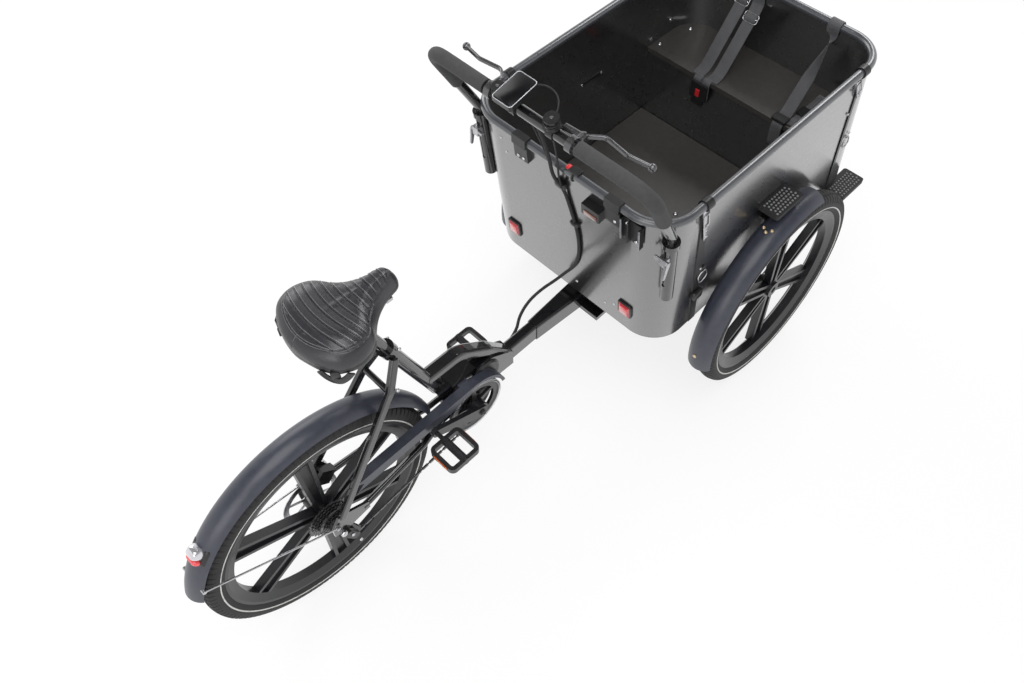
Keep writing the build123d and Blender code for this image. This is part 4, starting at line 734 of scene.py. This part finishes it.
def on_cover(plan):
    """Points of the cover's top under places in plan, and its normals there."""
    hits = [saddle.ray_cast(Vector((x * MM + REAR_X, y * MM, OVER_SADDLE)), Vector((0, 0, -1))) for x, y in plan]
    keep = [h for h in hits if h[0]]
    return np.array([h[1] for h in keep]), np.array([h[2] for h in keep])


def stitches(line, normal):
    """Row of stitches: every other step of a line is a small bar on the surface, arched as a parabola."""
    reach = np.linspace(-0.5, 0.5, 5)[:, None]
    bars = []
    for start, end, lean in zip(line[:-1:2], line[1::2], normal[::2]):
        middle = (start + end) / 2 + lean * STITCH_R * 0.3
        bar = middle + unit(end - start) * reach * STITCH_LONG - lean * STITCH_R * (2 * reach) ** 2
        bars.append(tube(bar, STITCH_R, lean, 5))
    return joined(bars)


def channel_beads():
    """Bead along each channel: a thin round bar at x = (k + phase) * pitch + bow * y * y in the panel."""
    beads = []
    y = np.linspace(-SADDLE_HALF, SADDLE_HALF, 121)
    for k in range(int(SADDLE_LONG / CHANNEL_PITCH)):
        x = SADDLE_TAIL + (k + BEAD_PHASE) * CHANNEL_PITCH + CHANNEL_BOW * y * y
        inside = panel_half(x) - np.abs(y) > BEAD_CLEAR
        if inside.sum() > BEAD_LEAST:
            line, lean = on_cover(np.stack([x, y], 1)[inside])
            beads.append(tube(line, BEAD_R, lean, 8))
    return joined(beads)


tail = saddle_outline(560, 17.0)
tail = tail[tail[:, 0] < SADDLE_TAIL + 92]
tail = tail[np.argsort(np.arctan2(tail[:, 1], SADDLE_TAIL + 120 - tail[:, 0]))]
bpy.context.view_layer.update()
seams = [stitches(*on_cover((tail - SADDLE_MIDDLE) * share + SADDLE_MIDDLE)) for share in SEAM_SHARES]
fit("saddle_thread", seams, "black_vinyl", "saddle_thread", "rear_frame")
fit("saddle_beads", channel_beads(), "black_vinyl", "painted_highlight_lip", "rear_frame")


# Harness down the front wall to the bench edge; strap lines are (forward, up) in millimetres
WEB_W, WEB_T = 0.036, 0.0022
SLIDER_GAP, SLIDER_HALF, SLIDER_POINTS, SLIDER_SQUARE = 0.004, 0.013, 40, 0.4
RING_R, BAR_R, RING_LIFT, BAR_LIFT, HUMP_LIFT, HUMP_HALF = 0.0017, 0.0022, 0.002, 0.0026, 0.0052, 0.011
TWIST_FROM, TWIST_RUN, PINCH, PINCH_AT, PINCH_RUN = 0.38, 0.28, 0.45, 0.52, 0.09
STRAP_SIDE = ((1710, 908), (1711, 926), (1698, 933), (1684, 930), (1681, 914), (1688, 890), (1690, 866),
              (1648, 812), (1600, 752), (1572, 716), (1556, 703.5), (1540, 702), (1529, 702))
BUCKLE_FALL = ((1531, 702.5), (1521, 702), (1517, 694), (1518, 676), (1521, 640))
RIGHT_FALL = ((1531, 703), (1521, 702), (1516, 692), (1517, 668), (1522, 622))
BENCH_STRAP = ((1690, 706), (1640, 702.5), (1590, 702.5), (1556, 706), (1534, 703))


def web_line(y, side):
    """Line of a strap in its own plane."""
    return smooth_line(np.array([(x, y, z) for x, z in side]) * MM + TO_ROW, steps=8)


def slider(line, share):
    """Wire slider on a strap: a rounded ring and a bar across it, and the strap's hump over that bar."""
    k = int(share * (len(line) - 1))
    run = unit(line[k + 1] - line[k - 1])
    side = np.array(LEFT, float)
    up = np.cross(side, run)
    reach = WEB_W / 2 + SLIDER_GAP
    disc = circle(1.0, SLIDER_POINTS)
    edge = np.sign(disc) * np.abs(disc) ** SLIDER_SQUARE * (reach, SLIDER_HALF)
    loop = line[k] + up * RING_LIFT + edge[:, :1] * side + edge[:, 1:] * run
    bar = line[k] + up * BAR_LIFT + np.linspace(-reach, reach, 6)[:, None] * side
    wires = joined([lattice(carried(loop, circle(RING_R, 8), up), close_u=True), tube(bar, BAR_R, up, 8)])
    rise = HUMP_LIFT * np.cos(np.linspace(-1.4, 1.4, 12))[:, None]
    hump = line[k] + run * np.linspace(-HUMP_HALF, HUMP_HALF, 12)[:, None] + up * rise
    return wires, strip(hump, WEB_W - 0.002, WEB_T)


def twisted(line):
    """Strap that makes half a turn about its run: a slab rotated along the line and drawn in at the twist."""
    share = np.linspace(0, 1, len(line))
    turn = np.pi * np.clip((share - TWIST_FROM) / TWIST_RUN, 0, 1)[:, None]
    side, lift = directions(line, LEFT)
    flat = side * np.cos(turn) + lift * np.sin(turn)
    up = lift * np.cos(turn) - side * np.sin(turn)
    narrow = 1 - PINCH * np.exp(-((share - PINCH_AT) / PINCH_RUN) ** 2)
    profile = slab(WEB_W, WEB_T)
    across = flat[:, None] * (profile[None, :, :1] * narrow[:, None, None])
    return lattice(line[:, None] + across + up[:, None] * profile[None, :, 1:], caps=True)


straps, wires = [], []
for y, fall_y, share in ((118, 106, 0.5), (70, 82, 0.55)):
    line = web_line(y, STRAP_SIDE)
    ring, hump = slider(line, share)
    wires.append(ring)
    straps += [strip(line, WEB_W, WEB_T), hump, strip(web_line(fall_y, BUCKLE_FALL), WEB_W - 0.004, WEB_T)]
straps += [twisted(web_line(-160, STRAP_SIDE)), strip(web_line(-163, RIGHT_FALL), WEB_W - 0.003, WEB_T),
           strip(web_line(-196, BENCH_STRAP), WEB_W - 0.006, WEB_T)]
webbing = fit("harness_webbing", straps, "webbing")
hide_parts("harness_straps")
fit("strap_sliders", wires, "bare_steel", "chrome")
fit("harness_buckles", [brick(at(1517, 96, 664), (0.016, 0.056, 0.056)),
                        brick(at(1517, 96, 628), (0.013, 0.040, 0.024)),
                        brick(at(1534, -161, 708), (0.030, 0.044, 0.009)),
                        brick(at(1600, -196, 707), (0.036, 0.040, 0.008))],
    "black_plastic", smooth=False, bevel=0.003)
fit("buckle_button", brick(at(1508.4, 96, 660), (0.004, 0.014, 0.024)), "red_lens", "red_plastic", smooth=False,
    bevel=0.0012)


# Fittings: small parts on the box, the bar and the frame
WALL_X, WALL_Z, WALL_LEAN = 831, 914, 58.0 / 494.0
OUT_OF_WALL = unit((-1.0, 0.0, -WALL_LEAN))
UP_WALL = unit((-WALL_LEAN, 0.0, 1.0))
PLAQUE_CROWN, DOME_ROWS, DOME_TOP = 0.25, 7, 0.55
SIDES = (1, -1)


def on_wall(y, z, off=0.0):
    """Place on the outside of the leaning rear wall, lifted off it."""
    return at(WALL_X + WALL_LEAN * (WALL_Z - z), y, z) + OUT_OF_WALL * off * MM


def both_sides(places):
    """Places and their mirror images across the middle plane."""
    return [(x, s * y, z) for x, y, z in places for s in SIDES]


def laid(size, corner, x_dir, out):
    """Round-cornered outline about the origin, square to an outward direction, and that direction."""
    x, n = unit(x_dir), unit(out)
    edge = rounded(size, corner)
    return edge[:, :1] * x + edge[:, 1:] * np.cross(n, x), n


def plaque(centre, size, corner, x_dir, out):
    """Plate with round corners: its outline lifted, then drawn in a little on top."""
    flat, n = laid(size[:2], corner, x_dir, out)
    drawn = 1 - PLAQUE_CROWN * size[2] / min(size[:2]) * 2
    steps = ((1.0, 0.0), (1.0, size[2] * (1 - PLAQUE_CROWN)), (drawn, size[2]))
    return lattice(np.stack([centre + flat * draw + n * lift for draw, lift in steps]), caps=True)


def dome(centre, size, corner, x_dir, out):
    """Cap: the outline is drawn in by the cosine of a quarter turn as it is lifted by the sine."""
    flat, n = laid(size[:2], corner, x_dir, out)
    rise = np.linspace(0, np.pi / 2, DOME_ROWS)[:, None, None]
    draw = DOME_TOP + (1 - DOME_TOP) * np.cos(rise)
    return lattice(centre + flat[None] * draw + n * (size[2] * np.sin(rise)), caps=True)


def hoop(centre, size, corner, x_dir, out, radius):
    """Round wire bent to a closed rectangle with round corners."""
    flat, n = laid(size, corner, x_dir, out)
    line = centre + flat
    side = np.cross(unit(np.roll(line, -1, 0) - np.roll(line, 1, 0)), n)
    ring = circle(radius, 8)
    return lattice(line[:, None] + side[:, None] * ring[None, :, :1] + n * ring[None, :, 1:], close_u=True)


def wall_heads(places, off, radius, height):
    """Like screws in the rear wall, at (left, up) places."""
    return heads([on_wall(y, z, off) for y, z in places], OUT_OF_WALL, radius, height)


def wall_plaques(places, off, size, corner):
    """Like plates on the rear wall, at (left, up) places."""
    return joined([plaque(on_wall(y, z, off), size, corner, LEFT, OUT_OF_WALL) for y, z in places])


# Rear wall: screws, cable clips, lamp window, trim of the ribbed plate, reflectors, clip on the rim
REFLECTORS = ((-201, 514), (201, 514))
PLATE_EDGES = (-245.7, -192.3)
fit("wall_screws", [
    wall_heads(((190, 826), (204, 868), (5, 480), (-28, 468), (-130, 469), (-162, 493), (12, 852)), 0, 3.8, 2.5),
    wall_heads(((115, 868), (132, 868), (-174, 872)), 12, 4.6, 3)], "bare_steel", "chrome")
fit("loom_clip", [wall_plaques([(0, 858)], 0, (0.034, 0.016, 0.014), 0.004),
                  wall_plaques([(-38, 740)], 0, (0.026, 0.012, 0.013), 0.004)], "black_plastic")
fit("lamp_window", wall_plaques([(-107, 846)], 22, (0.040, 0.015, 0.0016), 0.003), "clear_lens", "amber_dark")
fit("plate_screws", wall_heads(((-204, 886), (-232, 838)), 4, 5.5, 4), "bare_steel", "chrome")
fit("plate_edges", [brick(on_wall(y, 863, 14.2), (0.0016, 0.0046, 0.070), OUT_OF_WALL, UP_WALL)
                    for y in PLATE_EDGES], "bare_steel", smooth=False, bevel=0.0004)
fit("reflector_bases", wall_plaques(REFLECTORS, 0, (0.045, 0.054, 0.006), 0.007), "black_plastic")
fit("reflector_faces", wall_plaques(REFLECTORS, 9, (0.026, 0.033, 0.0012), 0.003), "red_lens", "red_prism")
fit("rim_clip", [hoop(at(830.5, -44, 918), (0.027, 0.027), 0.013, FORWARD, LEFT, 0.0024),
                 brick(at(830.5, -44, 931), (0.020, 0.030, 0.006))],
    "black_plastic", smooth=False, bevel=0.0015)
fit("rim_tab", plaque(at(830.5, -24, 929.4), (0.014, 0.011, 0.006), 0.003, FORWARD, UP), "red_lens", "red_plastic")

# Side seams, alike on both sides: toggle latches by their two (forward, up) ends, ring pulls, dark plates
LATCHES = ((954, 924, 990, 786), (1562, 904, 1602, 832))
LATCH_Y, RING_LEAN, PLATE_LEAN = 314, (1, 0, 0.4), (1, 0, 0.3)
SEAM_SCREWS = ((1012, 655), (1034, 594), (1652, 676), (1590, 780))
latches, dark_parts = [], []
for s in SIDES:
    out = np.array((0, s, 0))
    for x0, z0, x1, z1 in LATCHES:
        low, high = at(x1, s * LATCH_Y, z1), at(x0, s * LATCH_Y, z0)
        along = np.cross(unit(high - low), out)
        size = (0.013, np.linalg.norm(high - low), 0.004)
        loop_at = low + (high - low) * 0.62 + out * 0.006
        pins = [low + (high - low) * k + out * 0.004 for k in (0.12, 0.3)]
        latches += [plaque((low + high) / 2, size, 0.005, along, out),
                    hoop(loop_at, (0.018, 0.046), 0.006, along, out, 0.0017), heads(pins, out, 4, 2.5)]
    latches += [hoop(at(1022, s * 316, 622), (0.030, 0.044), 0.012, RING_LEAN, out, 0.002),
                hoop(at(1648, s * 313, 646), (0.026, 0.040), 0.012, RING_LEAN, out, 0.002),
                screws([(x, s * 311.5, z) for x, z in SEAM_SCREWS], out, 4, 2.5)]
    dark_parts += [plaque(at(1014, s * 310, 556), (0.034, 0.026, 0.016), 0.005, FORWARD, out),
                   plaque(at(1024, s * 310, 622), (0.034, 0.064, 0.004), 0.008, PLATE_LEAN, out)]
fit("seam_latches", latches, "bare_steel")
fit("latch_plates", dark_parts, "black_plastic")

# Inside the box: bench, wall and floor bolts, and the slot in the wall
fit("bench_bolts", [
    screws([(1559, 282, 700), (1676, 262, 700), (1559, -282, 700), (1676, -262, 700)], UP, 6, 3),
    screws([(1238, 299, 730), (1317, 299, 730), (1620, 299, 742)], RIGHT, 5, 3),
    screws([(1256, -65, 470)], UP, 7, 5)], "bare_steel", "chrome")
fit("wall_slot", plaque(at(1277, 299, 730), (0.086, 0.012, 0.0015), 0.005, FORWARD, RIGHT), "black_plastic")

# Steps: staggered rows of studs on the treads, by (rear, front, top), and the bolts of the fender brackets
STEP_TREADS = ((1250, 1346, 700.3), (1664, 1760, 454.0))
STUD = ((0.0033, -0.0002), (0.0029, 0.0018), (0.0014, 0.0027))
STUD_ROWS, STUD_COLUMNS, STUD_SHIFT = np.linspace(317, 357, 5), 9, 5
FENDER_UP = (-0.33, 0, 0.94)
stud_places = [(x + STUD_SHIFT * (row % 2), y, top)
               for x0, x1, top in STEP_TREADS for row, y in enumerate(STUD_ROWS)
               for x in np.linspace(x0, x1 - 2 * STUD_SHIFT, STUD_COLUMNS)]
# The studs' light grey finish is a painted highlight: it stands in for the glints on their tips
fit("step_studs", [lathe(STUD, at(*place), UP, 8) for place in both_sides(stud_places)],
    "black_plastic", "painted_highlight_stud")
fit("fender_bolts", [screws(both_sides([(1236, 340, 647), (1228, 352, 645), (1240, 362, 648)]), FENDER_UP, 5, 5),
                     screws(both_sides([(1001.5, 366, 330)]), (-1, 0, 0), 6, 3)],
    "bare_steel", "zinc_yellow")

# Handlebar: display glass and frame, clamp screws, ribs of the knobs
DISPLAY_LEAN = math.radians(12)
DISPLAY_OUT = unit((-math.sin(DISPLAY_LEAN), 0, math.cos(DISPLAY_LEAN)))
DISPLAY_X = unit((math.cos(DISPLAY_LEAN), 0, math.sin(DISPLAY_LEAN)))
KNOB_AXIS, KNOBS, KNOB_STEPS = (-0.2, 0, 1), ((91, 13, 1142), (-62, 17, 1143)), (0, 6, 12)
display_top = at(730, 42, 1162) + DISPLAY_OUT * 0.013
fit("display_glass", plaque(display_top, (0.078, 0.050, 0.0010), 0.006, DISPLAY_X, DISPLAY_OUT),
    "clear_lens", "screen_glass")
fit("display_frame", hoop(display_top, (0.082, 0.054), 0.007, DISPLAY_X, DISPLAY_OUT, 0.0010),
    "bare_steel", "pale_bezel")
fit("lever_screws", [screws(both_sides([(766, 118, 1136), (732, 110, 1144.5), (732, 122, 1144.5)]), UP, 2.8, 2),
                     screws([(726, 91, 1156.5), (726, -62, 1166.5)], KNOB_AXIS, 4, 1.5)],
    "bare_steel", "dark_steel")
fit("knob_ribs", [band(at(727, y, z + step), KNOB_AXIS, r * MM, (r + 1.2) * MM, 0.003, 28)
                  for y, r, z in KNOBS for step in KNOB_STEPS], "black_rubber")

# Thin cables from the levers and the display, each a smooth curve into the loom's clip or the bar
LEADS = (
    ("brake_hose_left", 0.005, "taut",
     ((758, 69, 1126), (754, 48, 1120), (764, 38, 1080), (786, 30, 1016), (802, 20, 960), (811, 12, 912),
      (818, 10, 886), (826, 8, 862))),
    ("brake_hose_right", 0.005, "taut",
     ((758, -69, 1126), (754, -44, 1120), (766, -26, 1080), (790, -16, 1016), (804, -12, 960), (811, -10, 912),
      (818, -8, 886), (826, -7, 862))),
    ("display_lead", 0.0035, "hanging",
     ((768, 34, 1164), (788, 28, 1160), (797, 4, 1158), (788, -24, 1156), (768, -42, 1150), (746, -52, 1144))),
)
LEAD_ACROSS = (0.3, 0.9, 0.2)
for name, diameter, lay, route in LEADS:
    line = smooth_line(np.array(route, float) * MM + TO_ROW)
    lead = fit(name, tube(line, diameter / 2, LEAD_ACROSS, 10), "black_rubber")

# Pedals: orange reflectors at both ends and teeth on the cage's edges
PEDALS = (("right", "pedal_on_right", 319.9, -145, 411.8), ("left", "pedal_on_left", 620.1, 145, 252.2))
TOOTH = ((0.0026, 0), (0.0012, 0.0028))
PEDAL_END, CAGE_SIDE, CAGE_TOP, TOOTH_PLACES = 49, 39, 9, np.linspace(-40, 40, 8)
for name, body, x, y, z in PEDALS:
    fit(name + "_pedal_reflectors", [plaque(at(x + s * PEDAL_END, y, z), (0.046, 0.012, 0.002), 0.002, LEFT,
                                            (s, 0, 0)) for s in SIDES], "clear_lens", "orange_lens", body)
    teeth = [lathe(TOOTH, at(x + dx, y + dy, z + s * CAGE_TOP), (0, 0, s), 6)
             for dx in TOOTH_PLACES for dy in (-CAGE_SIDE, CAGE_SIDE) for s in SIDES]
    fit(name + "_pedal_teeth", teeth, "black_plastic", None, body, smooth=False)

# Tail lamp on the fender: radius from the rear axle and place along the fender, in millimetres
LAMP_TURN, AXLE_Z, FENDER_R = math.radians(-50), 335.0, 352.0
LAMP_FOOT_R, LAMP_FACE_R, DOME_ALONG, LENS_ALONG, BOLTS_ALONG = 341, 361, -4, 17, (36, 50)


def on_fender(radius, along=0.0):
    """Place over the rear fender's middle line, a run down it from the lamp, and the way out there."""
    turn = LAMP_TURN - along / FENDER_R
    out = np.array([math.sin(turn), 0, math.cos(turn)])
    return at(radius * out[0], 0, AXLE_Z + radius * out[2]), out


lamp_foot, lamp_out = on_fender(LAMP_FOOT_R)
lamp = fit("tail_lamp", plaque(lamp_foot, (0.056, 0.050, 0.021), 0.008, LEFT, lamp_out), "clear_lens",
           "black_plastic", "rear_frame")
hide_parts("tail_light")
fit("tail_dome", dome(on_fender(LAMP_FACE_R, DOME_ALONG)[0], (0.040, 0.030, 0.022), 0.012, LEFT, lamp_out),
    "clear_lens", "lamp_clear", "rear_frame")
fit("tail_lens", dome(on_fender(LAMP_FACE_R, LENS_ALONG)[0], (0.040, 0.013, 0.015), 0.005, LEFT, lamp_out),
    "red_lens", "red_prism", "rear_frame")
lamp_bolts = [on_fender(FENDER_R, along) for along in BOLTS_ALONG]
fit("lamp_bolts", [heads([place], out, 5.5, 4) for place, out in lamp_bolts], "bare_steel", "chrome",
    "rear_frame")

# Rear frame: round motor cover, seat clamp, bridge, caliper and axle bolts; cranks: guard lines and caps
CRANK_X, CRANK_Z, CRANK_END = 471, 332, 84
COVER = ((0.012, -0.002), (0.012, 0.006), (0.066, 0.006), (0.074, 0.003), (0.075, -0.002))
COVER_RINGS, GUARD_LINES = (0.030, 0.048), ((0.0835, 0.0850), (0.0885, 0.0905))
fit("motor_cover", [lathe(COVER, at(CRANK_X, -33, CRANK_Z), RIGHT, 48)]
                   + [band(at(CRANK_X, -38.8, CRANK_Z), RIGHT, r, r + 0.003, 0.0010) for r in COVER_RINGS],
    "black_plastic", None, "rear_frame")
fit("frame_bolts", [
    screws([(300, 20, 752), (254, 54, 671), (66, 58, 418), (30, 58, 418)], LEFT, 5, 4),
    screws([(300, -20, 752), (254, -54, 671), (20, -86, 292), (34, -86, 236)], RIGHT, 5, 4),
    screws([(0, 87, AXLE_Z)], LEFT, 9, 7), screws([(0, -87, AXLE_Z)], RIGHT, 9, 7)],
    "bare_steel", "chrome", "rear_frame")
fit("guard_line", [band(at(CRANK_X, -56.2, CRANK_Z), LEFT, r0, r1, 0.0006, 96) for r0, r1 in GUARD_LINES],
    "bare_steel", None, "cranks")
fit("crank_caps", [screws([(CRANK_X, -CRANK_END, CRANK_Z)], RIGHT, 10, 3),
                   screws([(CRANK_X, CRANK_END, CRANK_Z)], LEFT, 10, 3)], "black_plastic", None, "cranks")


# Stage: white floor and surroundings with soft studio light
WHITE, FLOOR_TONE, FLOOR_HALF = (1, 1, 1, 1), (0.9, 0.9, 0.9, 1), 40.0
ROOM_LIGHT = 0.55
CEILING = {"From Min": 0.25, "From Max": 0.75, "To Min": 1.0, "To Max": 0.12}
FLOOR_FADE = {"From Min": 2.5, "From Max": 9.0, "To Min": 0.8, "To Max": 1.0}


def stage_world():
    """World: white to the camera, a ceiling that greys with height to reflections, plain light to the rest."""
    world = bpy.data.worlds.new("studio")
    scene.world = world
    world.use_nodes = True
    tree = world.node_tree
    tree.nodes.clear()
    rays = put(tree, "LightPath").outputs
    seen = larger(tree, larger(tree, rays["Is Camera Ray"], rays["Is Glossy Ray"]), rays["Is Transmission Ray"])
    way = put(tree, "SeparateXYZ", feeds={"Vector": put(tree, "TexCoord").outputs["Generated"]})
    ceiling = put(tree, "MapRange", CEILING, {"Value": way.outputs["Z"]}, interpolation_type="SMOOTHSTEP")
    strength = larger(tree, rays["Is Camera Ray"], ceiling.outputs["Result"])
    light = put(tree, "Background", {"Color": WHITE, "Strength": ROOM_LIGHT}).outputs["Background"]
    white = put(tree, "Background", {"Color": WHITE}, {"Strength": strength}).outputs["Background"]
    mix = put(tree, "MixShader", feeds={"Fac": seen, 1: light, 2: white})
    put(tree, "OutputWorld", feeds={"Surface": mix.outputs["Shader"]})


def stage_floor():
    """Floor: matte, with a glow of its own to the camera and reflections that grows to full white far away."""
    mat = bpy.data.materials.new("floor_white")
    mat.use_nodes = True
    tree = mat.node_tree
    tree.nodes.clear()
    rays = put(tree, "LightPath").outputs
    seen = larger(tree, rays["Is Camera Ray"], rays["Is Glossy Ray"])
    away = put(tree, "VectorMath", feeds={0: put(tree, "TexCoord").outputs["Object"]}, operation="LENGTH")
    fade = put(tree, "MapRange", FLOOR_FADE, {"Value": away.outputs["Value"]})
    share = put(tree, "Math", feeds={0: seen, 1: fade.outputs["Result"]}, operation="MULTIPLY")
    matte = put(tree, "BsdfDiffuse", {"Color": FLOOR_TONE}).outputs["BSDF"]
    glow = put(tree, "Emission", {"Strength": 1.0}).outputs["Emission"]
    mix = put(tree, "MixShader", feeds={"Fac": share.outputs["Value"], 1: matte, 2: glow})
    put(tree, "OutputMaterial", feeds={"Surface": mix.outputs["Shader"]})
    corners = FLOOR_HALF * np.array([[[-1, -1, 0], [1, -1, 0]], [[-1, 1, 0], [1, 1, 0]]])
    floor = mesh_object("floor", lattice(corners, close_v=False), mat, closed=False)


def softbox(name, place, aim, size, power):
    """Square area lamp that faces a point."""
    lamp = bpy.data.lights.new(name, "AREA")
    lamp.energy, lamp.size = power, size
    obj = linked(name, lamp)
    obj.location = place
    obj.rotation_mode = "QUATERNION"
    obj.rotation_quaternion = (Vector(aim) - Vector(place)).to_track_quat("-Z", "Y")


stage_world()
stage_floor()
softbox("over", (-1.0, -0.8, 4.2), (0, 0, 0), 3.0, 90)
softbox("ahead", (3.2, 0.5, 3.4), (0.5, 0, 0.5), 1.6, 45)
softbox("left", (0.5, 3.4, 2.6), (0, 0, 0.4), 2.4, 45)
softbox("behind", (-3.6, -1.2, 2.4), (0, 0, 0.5), 2.2, 35)
scene.view_settings.view_transform = "Standard"
